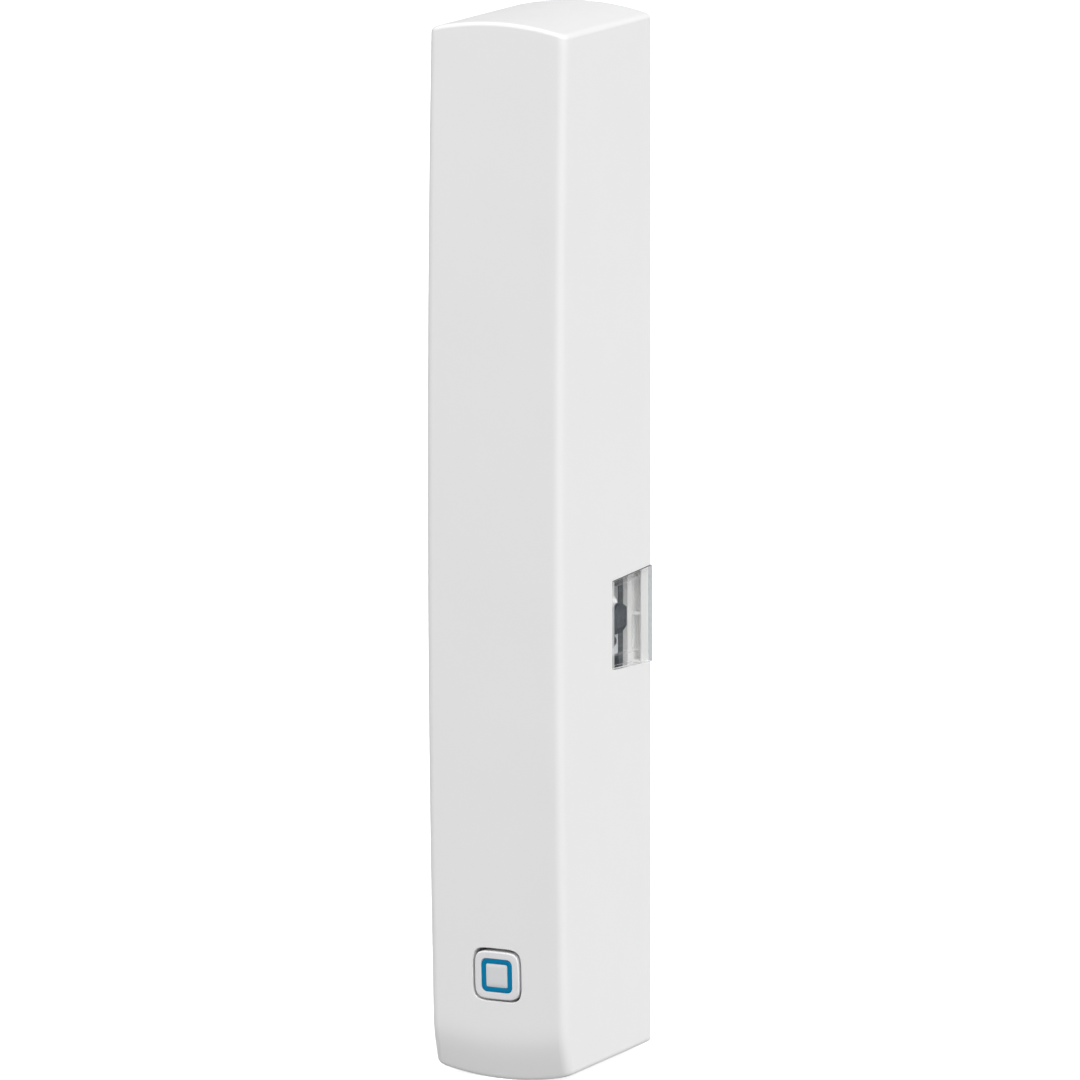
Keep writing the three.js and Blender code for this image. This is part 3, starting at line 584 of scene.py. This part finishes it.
def housing_form(inset, rear_y):
    """The housing's outer form set in by `inset`, as a closed skin from its front to rear_y."""
    radius, end_radius = (max(r - inset, LEAST_RADIUS) for r in (EDGE_RADIUS, END_RADIUS))
    half_x, half_z = HALF_W - inset, HALF_H - inset
    quarter = [math.pi / 2 * i / CORNER_STEPS for i in range(CORNER_STEPS + 1)]
    end = [(half_z - end_radius * (1 - math.cos(a)), 1 - math.sin(a)) for a in quarter]
    lowest, span = end_radius - half_z, 2 * (half_z - end_radius)
    middle = [(lowest + span * i / ALONG_STEPS, 0.0) for i in range(1, ALONG_STEPS)]
    levels = [(-z, share) for z, share in end] + middle + end[::-1]
    rings = []
    for z, share in levels:
        half = half_x - end_radius * share
        setback = max((TOP_SETBACK if z > 0 else BOTTOM_SETBACK) - inset, LEAST_SETBACK)
        front = front_y(z) + inset + setback * share
        flat = half - radius
        corner = [
            (-half + radius * (1 - math.cos(a)), front + radius * (1 - math.sin(a))) for a in quarter
        ]
        across = [(-flat + 2 * flat * i / ACROSS_STEPS, front) for i in range(1, ACROSS_STEPS)]
        chain = corner + across + [(-x, y) for x, y in reversed(corner)]
        chain += [(x, rear_y) for x, _ in reversed(chain)]
        rings.append([(x, y, z - dome_drop(x, z)) for x, y in chain])
    points, faces = loft(rings, caps=(False, False))
    ring, top = len(rings[0]), (len(rings) - 1) * len(rings[0])
    for j in range(ring // 2 - 1):
        back = ring - 1 - j
        faces.append((top + j, top + j + 1, top + back - 1, top + back))
        faces.append((j + 1, j, back, back - 1))
    return points, faces


FLARE = math.radians(82)
FLARE_STEPS = 6


def flared(ring_at, radius, depth):
    """Rings of a cutter whose mouth rounds the edge of the hole that it cuts."""
    rings = [ring_at(0.0, depth), ring_at(0.0, radius)]
    for i in range(1, FLARE_STEPS + 1):
        angle = FLARE * i / FLARE_STEPS
        rings.append(ring_at(radius * (1 - math.cos(angle)), radius * (1 - math.sin(angle))))
    mouth = radius * (1 - math.cos(FLARE))
    rings.append(ring_at(mouth, -1.0))
    return loft(rings)


def key_hole_cutter():
    """The hole for the key, with a fine round on its outer edge."""

    def ring_at(grow, depth):
        ring = squircle_ring(KEY_HOLE_HALF + grow, depth)
        return [(x, y, z + KEY_HOLE_RAISE) for x, y, z in ring]

    return flared(ring_at, 0.06, 4.0)


def notch_cutter():
    """The side notch for the sensor window, with a fine round on its outer edges."""

    def ring_at(grow, depth):
        outline = window_outline(RIM_Y + 2, -grow)
        return [(HALF_W - depth, y, z) for y, z in outline]

    return flared(ring_at, 0.05, 2.5)


def hold_down_rib(z):
    """Rib inside the cap that keeps the cell in its trough."""
    sleeve_y = (SLEEVE_LOW.y + SLEEVE_HIGH.y) / 2
    radius = (SLEEVE_HIGH.x - SLEEVE_LOW.x) / 2 + RIB_PLAY
    half = RIB_HALF_WIDTH
    base = front_y(z) + WALL - FUSE
    reach = math.asin(half / radius)
    arc = [reach - 2 * reach * i / 16 for i in range(17)]
    curve = [(radius * math.sin(a), sleeve_y - radius * math.cos(a)) for a in arc]
    outline = [(-half, base), (half, base), *curve]
    levels = (z - RIB_HALF_HEIGHT, z + RIB_HALF_HEIGHT)
    return loft([[(x, y, level) for x, y in outline] for level in levels])


def make_cap():
    """Housing shell, with its hold-down ribs and the post that presses the tamper switch."""
    cap = object_from("front_cap_shell", [housing_form(0, RIM_Y)])
    hollow = object_from("hollow", [housing_form(WALL, RIM_Y + 2)])
    hole = object_from("hole", [key_hole_cutter()])
    notch = object_from("notch", [notch_cutter()])
    combine(cap, "DIFFERENCE", hollow, hole, notch)
    ribs = [object_from("rib", [hold_down_rib(z)]) for z in RIBS_Z]
    low, high = box_mm("tamper_switch_plunger")
    tamper_z = (low.z + high.z) / 2
    reach = low.y - 0.1 - front_y(tamper_z) - WALL + FUSE
    profile = [(1.9, 0), (1.6, 0.6), (1.15, reach - 0.1), (1.05, reach)]

    def inwards(u, v, h):
        return u, front_y(tamper_z) + WALL - FUSE + h, tamper_z + v

    post = object_from("post", [turned(profile, 40, inwards)])
    combine(cap, "UNION", *ribs, post)
    even_shading(cap)
    return finish_piece(cap, "cap", M["cap_white"], "cap_white", "front_cap")


# ---------------------------------------------------------------- system key


def make_key():
    """White frame of the key: a rounded rim, a flat face and a bore for the light guide."""
    edge = KEY_EDGE
    quarter = [math.pi / 2 * i / 8 for i in range(9)]
    head_rear = KEY_LOW.y + KEY_HEAD_DEPTH - front_y(KEY_Z)
    bore, corner = RING_HALF + KEY_BORE_PLAY, KEY_BORE_CORNER
    rings = [squircle_ring(KEY_HALF, head_rear)]
    for a in quarter:
        half = KEY_HALF - edge * (1 - math.cos(a))
        rings.append(squircle_ring(half, edge * (1 - math.sin(a)) - KEY_PROUD))
    rings.append(squircle_ring(KEY_HALF - edge - 0.1, -KEY_PROUD))
    rings.append(square_ring(bore + 0.04, corner, -KEY_PROUD))
    rings.append(square_ring(bore, corner, 0.04 - KEY_PROUD))
    rings.append(square_ring(bore, corner, head_rear))
    key = object_from("system_key", [loft(rings, wrap=True)])
    even_shading(key)
    finish_piece(key, "button", M["key_white"], "key_white", "button_key")

    front, rear = KEY_HIGH.y - FLANGE_DEPTH - front_y(KEY_Z), KEY_HIGH.y - front_y(KEY_Z)
    sections = [
        (FLANGE_HALF, FLANGE_CORNER, front),
        (FLANGE_HALF, FLANGE_CORNER, rear),
        (bore, corner, rear),
        (bore, corner, front),
    ]
    rings = [square_ring(half, radius, depth, False) for half, radius, depth in sections]
    flange = soften(object_from("system_key_flange", [loft(rings, wrap=True)]), 0.08)
    finish_piece(flange, "button", M["key_white"], "key_white")


def make_light_guide():
    """Blue light guide: a square tube whose front edge is the ring in the key, and its pick-up leg."""
    face = 0.01 - KEY_PROUD
    edge = 0.04
    y_rear = RING_HIGH.y - GUIDE_LEG_DEPTH
    rear = y_rear - front_y(KEY_Z)
    inner = RING_HALF - RING_WIDTH
    sections = [
        (RING_HALF, 0.55, rear),
        (RING_HALF, 0.55, face + edge),
        (RING_HALF - edge, 0.53, face),
        (inner + edge, 0.23, face),
        (inner, 0.21, face + edge),
        (inner, 0.21, rear),
    ]
    tube = loft([square_ring(*section) for section in sections], wrap=True)
    leg_top = KEY_Z - RING_HALF + 0.1
    half = GUIDE_LEG_HALF
    arm = brick((-half, y_rear - 1.0, RING_LOW.z), (half, y_rear, leg_top))
    leg = brick((-half, y_rear - 0.4, RING_LOW.z), (half, RING_HIGH.y, RING_LOW.z + 0.6))
    guide = object_from("light_guide_ring", [tube])
    combine(guide, "UNION", object_from("arm", [arm]), object_from("leg", [leg]))
    even_shading(guide)
    return finish_piece(guide, "button", M["ring_blue"], "ring_blue", "light_guide")


def make_key_core():
    """Centre of the key, and the stem that works the switch."""
    face = 0.03 - KEY_PROUD
    edge = 0.06
    half = RING_HALF - RING_WIDTH - 0.02
    front, rear = STEM_FRONT_Y, CORE_PLATE_REAR_Y - front_y(KEY_Z)
    sections = [
        (half, 0.19, rear),
        (half, 0.19, face + edge),
        (half - edge * 0.3, 0.18, face + edge * 0.3),
        (half - edge, 0.15, face),
        (half * 0.6, 0.1, face),
    ]
    plate = loft([square_ring(*section) for section in sections])
    length = CORE_REAR_Y - front
    profile = [(0.95, 0), (0.95, length - 0.15), (0.8, length)]
    stem = turned(profile, 32, lambda u, v, h: (u, front + h, KEY_Z + v))
    core = object_from("key_core_plate", [plate])
    combine(core, "UNION", object_from("stem", [stem]))
    even_shading(core)
    return finish_piece(core, "button", M["core_white"], "key_white", "key_core")


# ---------------------------------------------------------------- sensor window and optics


def make_window():
    """Clear tub: a flush skin in the side wall, with walls that reach in round the optics."""
    skin_x = HALF_W - WINDOW_SKIN
    wall_x = WIN_LOW.x
    wall_rear = PLATE_FRONT - PLATE_GAP
    strip_rear = WIN_LOW.y + WINDOW_STRIP
    rings = []
    for y in (WIN_LOW.y, strip_rear, WIN_HIGH.y):
        outline = window_outline(y, WINDOW_GAP, WINDOW_GAP, WINDOW_FOOT_GAP)
        _, (_, low_z), (_, high_z), _ = outline
        rings.append([(skin_x, y, low_z), (HALF_W, y, low_z), (HALF_W, y, high_z), (skin_x, y, high_z)])
    inside = window_outline(
        wall_rear - WINDOW_REAR_WALL, *(WINDOW_GAP + thickness for thickness in WINDOW_WALLS)
    )
    outlines = {
        "walls": (window_outline(wall_rear, WINDOW_GAP), wall_x, skin_x + 0.1),
        "pocket": (inside, wall_x - 1, skin_x),
    }
    made = {name: object_from(name, [slab_x(*form)]) for name, form in outlines.items()}
    window = object_from("skin", [loft(rings)])
    combine(window, "UNION", made["walls"])
    combine(window, "DIFFERENCE", made["pocket"])
    window.name = "sensor_window_tub"
    finish_piece(window, "base", M["window_clear"], "window_clear", "sensor_window")
    for finish in WINDOW_FINISHES[1:]:
        window.data.materials.append(M["window_" + finish])
    slot_of = WINDOW_FINISHES.index
    for face in window.data.polygons:
        centre = face.center / MM
        if centre.y > WIN_HIGH.y - 0.02:
            face.material_index = slot_of("end")
        elif face.normal.z < -0.5 and centre.z < WINDOW_Z - WINDOW_FRONT_HALF:
            face.material_index = slot_of("under")
        # top faces of the skin: painted shade of the gap above the window
        elif face.normal.z > 0.5 and centre.z > WINDOW_Z + WINDOW_FRONT_HALF - 0.1:
            face.material_index = slot_of("seam")
        # pocket walls: painted reflection
        elif abs(face.normal.x) < 0.5 and centre.x < skin_x:
            face.material_index = slot_of("edge")
        elif face.normal.x > 0.5 and centre.x > skin_x and centre.y < strip_rear:
            face.material_index = slot_of("strip")
    window.visible_shadow = False
    window.visible_diffuse = False
    soften(window, WINDOW_LINE, 2)
    # the bevel faces take the painted highlight
    window.modifiers["edges"].material = slot_of("line")
    return window


def make_barrier():
    """Dark divider between the two optical elements, with a wide chamfered head."""
    low, high = box_mm("light_barrier")
    front, rear, head_back = low.y, HEAD_REAR_Y, high.x - HEAD_DEPTH
    outline = [
        (front + HEAD_FOOT_FRONT, low.z),
        (rear - HEAD_FOOT_REAR, low.z),
        (rear, low.z + HEAD_FOOT_DROP),
        (rear, high.z - HEAD_TOP_REAR[1]),
        (rear - HEAD_TOP_REAR[0], high.z),
        (front + HEAD_TOP_FRONT[0], high.z),
        (front, high.z - HEAD_TOP_FRONT[1]),
        (front, low.z + HEAD_FOOT_DROP),
    ]
    face = [(y, max(z, low.z + HEAD_LIFT)) for y, z in outline]
    sections = [(outline, head_back), (outline, high.x - HEAD_RIM), (face, high.x)]
    rings = [[(x, y, z) for y, z in ring] for ring, x in sections]
    barrier = object_from("light_barrier_head", [loft(rings)])
    half = BARRIER_WALL_HALF
    wall = brick((low.x, low.y + 0.3, SENSOR_Z - half), (head_back + 0.05, high.y, SENSOR_Z + half))
    combine(barrier, "UNION", object_from("wall", [wall]))
    finish_piece(barrier, "base", M["optics_black"], "optics_black", "light_barrier")
    barrier.data.materials.append(M["optics_painted_shade"])
    # downward chamfers of the head take the darker copy: painted shade
    for face in barrier.data.polygons:
        if face.normal.z < -0.15 and face.center.x / MM > head_back:
            face.material_index = 1
    return soften(barrier, 0.04, 2)


def make_optical_element(node, package, lens, radius, rise):
    """Side-looking package with a lens dome towards the window."""
    low, high = box_mm(node)
    face_x = high.x - LENS_STANDOFF
    middle = ((low.y + high.y) / 2, (low.z + high.z) / 2)
    body = object_from(node + "_package", [brick(low, (face_x, high.y, high.z))])
    soften(body, 0.12, 3)
    finish_piece(body, "base", M[package], "lens_clear", node)
    turn = [math.pi / 2 * i / 10 for i in range(10)]
    collar = radius + LENS_COLLAR
    profile = [(collar, 0), (collar, LENS_COLLAR_HEIGHT)]
    profile += [(radius * math.cos(a), LENS_COLLAR_HEIGHT + rise * math.sin(a)) for a in turn]
    dome = object_from(node + "_dome", [turned(profile, 40, sideways(face_x - 0.02, *middle))])
    even_shading(dome)
    finish_piece(dome, "base", M[lens], lens)


# ---------------------------------------------------------------- CAD nodes that stay

# Material, and width of the softened edges.
KEPT = {
    "base_plate": ("base_white", 0.14),
    "adhesive_strip": ("adhesive_foam", 0.12),
    "battery_holder": ("base_white", 0.14),
    "button_tower": ("base_white", 0.12),
    "button_switch_body": ("chip_black", 0.08),
    "button_switch_cover": ("spring_steel", 0.06),
    "button_switch_plunger": ("base_white", 0.06),
    "tamper_switch_body": ("chip_black", 0.08),
    "tamper_switch_cover": ("spring_steel", 0.06),
    "tamper_switch_plunger": ("base_white", 0.06),
    "main_pcb": ("pcb_laminate", 0.06),
    "microcontroller": ("chip_black", 0.08),
    "radio_shield": ("nickel_plate", 0.15),
    "crystal": ("nickel_plate", 0.2),
    "boost_inductor": ("ferrite_grey", 0.2),
    "emitter_driver": ("chip_black", 0.08),
    "status_led": ("led_white", 0.06),
    "buffer_capacitor": ("nickel_plate", 0.06),
    "battery_can": ("spring_steel", 0),
    "battery_sleeve": ("battery_sleeve", 0),
    "battery_negative_cap": ("nickel_plate", 0),
    "battery_seal": ("seal_black", 0),
    "battery_positive_cap": ("nickel_plate", 0),
    "positive_contact": ("nickel_plate", 0.05),
    "negative_contact": ("nickel_plate", 0.05),
}


def dress_cad_nodes():
    """Materials and softened edges for the CAD nodes whose shape stays."""
    for node, (material, width) in KEPT.items():
        made = NODES[node]
        made.data.materials.clear()
        made.data.materials.append(M[material])
        weld = made.modifiers.new("weld", "WELD")
        weld.merge_threshold = 0.002 * MM
        flat = made.modifiers.new("flat", "DECIMATE")
        flat.decimate_type = "DISSOLVE"
        flat.angle_limit = math.radians(1)
        made.data.shade_smooth()
        made.data.set_sharp_from_angle(angle=math.radians(32))
        if width:
            soften(made, width)
        else:
            even_shading(made)


# ---------------------------------------------------------------- wires and springs


def tube_along(points, radius, sides=14):
    """Points and faces of a round tube along a smooth line, by parallel transport."""
    line = [Vector(p) for p in points]
    rings = []
    normal = None
    for i, point in enumerate(line):
        ahead = line[min(i + 1, len(line) - 1)]
        behind = line[max(i - 1, 0)]
        tangent = (ahead - behind).normalized()
        if normal is None:
            normal = tangent.orthogonal().normalized()
        normal = (normal - tangent * normal.dot(tangent)).normalized()
        side = tangent.cross(normal)
        turn = [2 * math.pi * k / sides for k in range(sides)]
        rings.append([point + radius * (normal * math.cos(a) + side * math.sin(a)) for a in turn])
    return loft(rings)


SPRING_WIRE = 0.28  # radius
SPRING_TURNS, SPRING_WIDE, SPRING_NARROW = 3.25, 3.1, 2.0
SPRING_STEPS = 156


def make_spring():
    """Conical contact spring at the negative end of the cell."""
    low, high = box_mm("negative_contact_spring")
    axis_y = (SLEEVE_LOW.y + SLEEVE_HIGH.y) / 2
    bottom, height = low.z + SPRING_WIRE, high.z - low.z - 2 * SPRING_WIRE
    line = []
    for i in range(SPRING_STEPS + 1):
        t = i / SPRING_STEPS
        angle = 2 * math.pi * SPRING_TURNS * t
        radius = SPRING_WIDE + (SPRING_NARROW - SPRING_WIDE) * t
        line.append((radius * math.cos(angle), axis_y + radius * math.sin(angle), bottom + height * t))
    spring = object_from("negative_contact_coil", [tube_along(line, SPRING_WIRE * 0.97)])
    return finish_piece(
        spring, "base", M["spring_steel"], "spring_steel", "negative_contact_spring"
    )


AERIAL_RADIUS = 0.34
AERIAL_FOOT_X, AERIAL_FOOT_Z = -4.7, -33.6
AERIAL_BEND_Y, AERIAL_CORNER_X = -12.2, -4.9  # where the bend starts, and its corner
AERIAL_RUN = (-5.1, -13.6, -31.6)  # foot of the straight run beside the cell
AERIAL_TOP_Z = 44.0


def make_antenna():
    """Wire aerial: up from the board, one bend, then along the corner beside the cell."""
    run_x, run_y, run_z = AERIAL_RUN
    rise = [(AERIAL_FOOT_X, BOARD_FRONT - 0.05 - 0.4 * i, AERIAL_FOOT_Z) for i in range(20)]
    start = Vector((AERIAL_FOOT_X, AERIAL_BEND_Y, AERIAL_FOOT_Z))
    corner, end = Vector((AERIAL_CORNER_X, run_y, AERIAL_FOOT_Z)), Vector(AERIAL_RUN)
    rise.append(tuple(start))
    bend = []
    for i in range(1, 13):
        t = i / 12
        bend.append(tuple(start * (1 - t) ** 2 + corner * (2 * t * (1 - t)) + end * t * t))
    run = [(run_x, run_y, run_z + (AERIAL_TOP_Z - run_z) * i / 30) for i in range(1, 31)]
    wire = object_from("antenna_wire_insulated", [tube_along([*rise, *bend, *run], AERIAL_RADIUS)])
    return finish_piece(
        wire, "base", M["antenna_insulation"], "antenna_insulation", "antenna_wire"
    )


# ---------------------------------------------------------------- small parts on the board


PINS, PIN_PITCH, FIRST_PIN = 9, 0.7, -2.8
SWITCH_PINS_Z = (-1.6, 1.6)
INTO_BODY = 0.02

# Length along the board, width and height of the leads.
SIDE_LEAD = (0.8, 0.3, 0.5)
END_LEAD = (0.6, 0.3, 0.5)
SWITCH_LEAD = (1.1, 0.7, 0.9)


def gull_leg(x, z, direction, foot, width, height):
    """A component lead in the X or Z direction: out of the body, down and along the board."""
    dx, dz = direction
    across = (dz, dx)
    top = BOARD_FRONT - height
    thick = 0.12
    line = [
        (0.0, top),
        (foot * 0.45, top),
        (foot * 0.6, BOARD_FRONT - thick - 0.02),
        (foot, BOARD_FRONT - thick - 0.02),
    ]
    rings = []
    for out, y in line:
        ring = []
        for sign, lift in ((-1, 0), (1, 0), (1, thick), (-1, thick)):
            px = x + dx * out + across[0] * sign * width / 2
            pz = z + dz * out + across[1] * sign * width / 2
            ring.append((px, y + lift, pz))
        rings.append(ring)
    return loft(rings)


def make_leads():
    """Leads of the microcontroller on its four sides, and of both switches."""
    low, high = box_mm("microcontroller")
    centre = (low.z + high.z) / 2
    steps = [FIRST_PIN + PIN_PITCH * i for i in range(PINS)]
    parts = []
    for step in steps:
        parts.append(gull_leg(high.x - INTO_BODY, centre + step, (1, 0), *SIDE_LEAD))
        parts.append(gull_leg(low.x + INTO_BODY, centre + step, (-1, 0), *SIDE_LEAD))
    for step in steps:
        parts.append(gull_leg(step, high.z - INTO_BODY, (0, 1), *END_LEAD))
        parts.append(gull_leg(step, low.z + INTO_BODY, (0, -1), *END_LEAD))
    leads = object_from("microcontroller_leads", parts)
    finish_piece(leads, "base", M["solder"], "nickel_plate")

    for prefix in ("button", "tamper"):
        low, high = box_mm(prefix + "_switch_body")
        centre = (low.z + high.z) / 2
        parts = []
        for dz in SWITCH_PINS_Z:
            parts.append(gull_leg(high.x - INTO_BODY, centre + dz, (1, 0), *SWITCH_LEAD))
            parts.append(gull_leg(low.x + INTO_BODY, centre + dz, (-1, 0), *SWITCH_LEAD))
        legs = object_from(prefix + "_switch_legs", parts)
        finish_piece(legs, "base", M["solder"], "nickel_plate")


CHIP_LENGTH, CHIP_WIDTH = 1.5, 0.8
CHIP_END = 0.22  # share of the length
HOLDER_MARGIN = 0.8


def chip_part(x, z, height, upright):
    """A two-ended chip component: its ceramic body, and its two end caps."""
    rear = BOARD_FRONT - 0.03
    half_l, half_w = CHIP_LENGTH / 2, CHIP_WIDTH / 2
    cap = CHIP_LENGTH * CHIP_END

    def part(a0, a1, grow):
        """Block from a0 to a1 along the component, grown on its other sides."""
        w = half_w + grow
        if upright:
            return brick((x - w, rear - height - grow, z + a0), (x + w, rear, z + a1))
        return brick((x + a0, rear - height - grow, z - w), (x + a1, rear, z + w))

    body = part(-half_l + cap * 0.8, half_l - cap * 0.8, 0)
    ends = [part(-half_l, -half_l + cap, 0.02), part(half_l - cap, half_l, 0.02)]
    return body, ends


# Place on the board as (x, z), and whether the length runs along z.
RESISTORS = [
    (4.1, -26.0, True), (4.1, -23.6, True), (4.1, -21.2, True), (-4.2, -24.4, True),
    (-4.2, -21.8, True), (3.4, -13.6, True), (4.6, -13.6, True), (2.9, -1.9, False),
    (-3.6, -36.0, False), (3.6, -33.4, True),
]
CAPACITORS = [
    (-1.9, -27.4, False), (0.6, -27.4, False), (4.3, -11.9, True), (0.8, -2.2, True),
    (-4.3, -28.6, True), (-4.3, -31.0, True),
]


def make_chip_parts():
    """Chip resistors and capacitors, and their solder ends."""
    ends = []
    for name, places, height, material in (
        ("chip_resistors", RESISTORS, 0.4, "resistor_ceramic"),
        ("chip_capacitors", CAPACITORS, 0.75, "capacitor_ceramic"),
    ):
        bodies = []
        for x, z, upright in places:
            if abs(z) < BOARD_HIGH.z and not under_holder(z):
                body, caps = chip_part(x, z, height, upright)
                bodies.append(body)
                ends += caps
        made = soften(object_from(name, bodies), 0.05, 2)
        finish_piece(made, "base", M[material], "ferrite_grey")
    joints = soften(object_from("chip_solder_ends", ends), 0.06, 2)
    finish_piece(joints, "base", M["solder"], "nickel_plate")


def under_holder(z):
    """Whether a height on the board is covered by the battery holder."""
    low, high = box_mm("battery_holder")
    return low.z - HOLDER_MARGIN < z < high.z + HOLDER_MARGIN


# ---------------------------------------------------------------- build

make_cap()
make_key()
make_light_guide()
make_key_core()
make_window()
make_barrier()
for element, form in OPTICAL_ELEMENTS.items():
    make_optical_element(element, *form)
make_spring()
make_antenna()
make_leads()
make_chip_parts()
dress_cad_nodes()

# ---------------------------------------------------------------- stage, light and camera

scene = bpy.context.scene


def make_stage():
    """Plain pale floor just under the object."""
    material, nodes, links, shader = new_material("studio_floor")
    coordinates = nodes.new("ShaderNodeTexCoord").outputs["Object"]
    mottling = noise(nodes, links, coordinates, 6, 2)
    links.new(
        tint(nodes, links, mottling, (0.90, 0.90, 0.90), (0.92, 0.92, 0.92)),
        shader.inputs["Base Color"],
    )
    shader.inputs["Roughness"].default_value = 0.9
    shader.inputs["Emission Color"].default_value = (1, 1, 1, 1)
    shader.inputs["Emission Strength"].default_value = 0.6
    size = 3000.0
    level = CAP_LOW.z - 0.02
    floor = object_from(
        "studio_floor",
        [([(-size, -size, level), (size, -size, level), (size, size, level), (-size, size, level)],
          [(0, 1, 2, 3)])],
    )
    floor.data.materials.append(material)
    floor.visible_diffuse = False
    floor.visible_glossy = False
    floor.visible_shadow = False


def direction(azimuth, elevation):
    """Unit vector from the object; azimuth 0 is straight in front and 90 to the right."""
    a, e = math.radians(azimuth), math.radians(elevation)
    return Vector((math.sin(a) * math.cos(e), -math.cos(a) * math.cos(e), math.sin(e)))


# Broad soft lights as (azimuth, elevation, strength, tightness), over a dim even sky.
SOFT_LIGHTS = [
    (57.5, 33.6, 4.73, 6),
    (-60.4, 27.8, 2.85, 6),
    (180, -10, 1.0, 2),
    (0, -90, 0.5, 5),
]
SKY = 0.03


def make_world():
    """Studio surround: a dim sky with broad soft lights in it."""
    world = bpy.data.worlds.new("studio")
    scene.world = world
    world.use_nodes = True
    nodes, links = world.node_tree.nodes, world.node_tree.links
    heading = nodes.new("ShaderNodeTexCoord").outputs["Generated"]

    def math_node(operation, first, second):
        """Output of a maths node fed by numbers or other outputs."""
        made = nodes.new("ShaderNodeMath")
        made.operation = operation
        for socket, value in zip(made.inputs, (first, second)):
            if isinstance(value, float):
                socket.default_value = value
            else:
                links.new(value, socket)
        return made.outputs["Value"]

    def lobe(towards, strength, tightness):
        """Light that is strongest in one direction."""
        dot = nodes.new("ShaderNodeVectorMath")
        dot.operation = "DOT_PRODUCT"
        links.new(heading, dot.inputs[0])
        dot.inputs[1].default_value = towards
        facing = math_node("MAXIMUM", dot.outputs["Value"], 0.0)
        return math_node("MULTIPLY", math_node("POWER", facing, float(tightness)), strength)

    total = SKY
    for azimuth, elevation, strength, tightness in SOFT_LIGHTS:
        light = lobe(direction(azimuth, elevation), strength, tightness)
        total = math_node("ADD", light, total)
    background = nodes["Background"]
    background.inputs["Color"].default_value = (1, 1, 1, 1)
    links.new(total, background.inputs["Strength"])


CAMERA_AZIMUTH = 26.79
CAMERA_ELEVATION = 10.11
CAMERA_ROLL = -0.1
CAMERA_DISTANCE = 1.1
CAMERA_LENS = 383.8
AIM_RIGHT, AIM_UP = 0.18, 0.14  # millimetres from the middle of the housing


def make_camera():
    """A long lens from the front right, a little above the middle of the housing."""
    away = direction(CAMERA_AZIMUTH, CAMERA_ELEVATION)
    right = Vector((0, 0, 1)).cross(away).normalized()
    up = away.cross(right)
    centre = Vector((0, (FRONT_Y + RIM_Y) / 2, 0)) * MM
    aim = centre + right * AIM_RIGHT * MM + up * AIM_UP * MM
    data = bpy.data.cameras.new("camera")
    data.lens = CAMERA_LENS
    data.sensor_width = 36
    data.clip_start = 0.05
    data.clip_end = 20
    camera = bpy.data.objects.new("camera", data)
    scene.collection.objects.link(camera)
    camera.location = aim + away * CAMERA_DISTANCE
    look = (-away).to_track_quat("-Z", "Y").to_matrix()
    spin = Matrix.Rotation(math.radians(CAMERA_ROLL), 3, "Z")
    camera.rotation_mode = "QUATERNION"
    camera.rotation_quaternion = (look @ spin).to_quaternion()
    scene.camera = camera


make_stage()
make_world()
make_camera()
scene.view_settings.view_transform = "Standard"
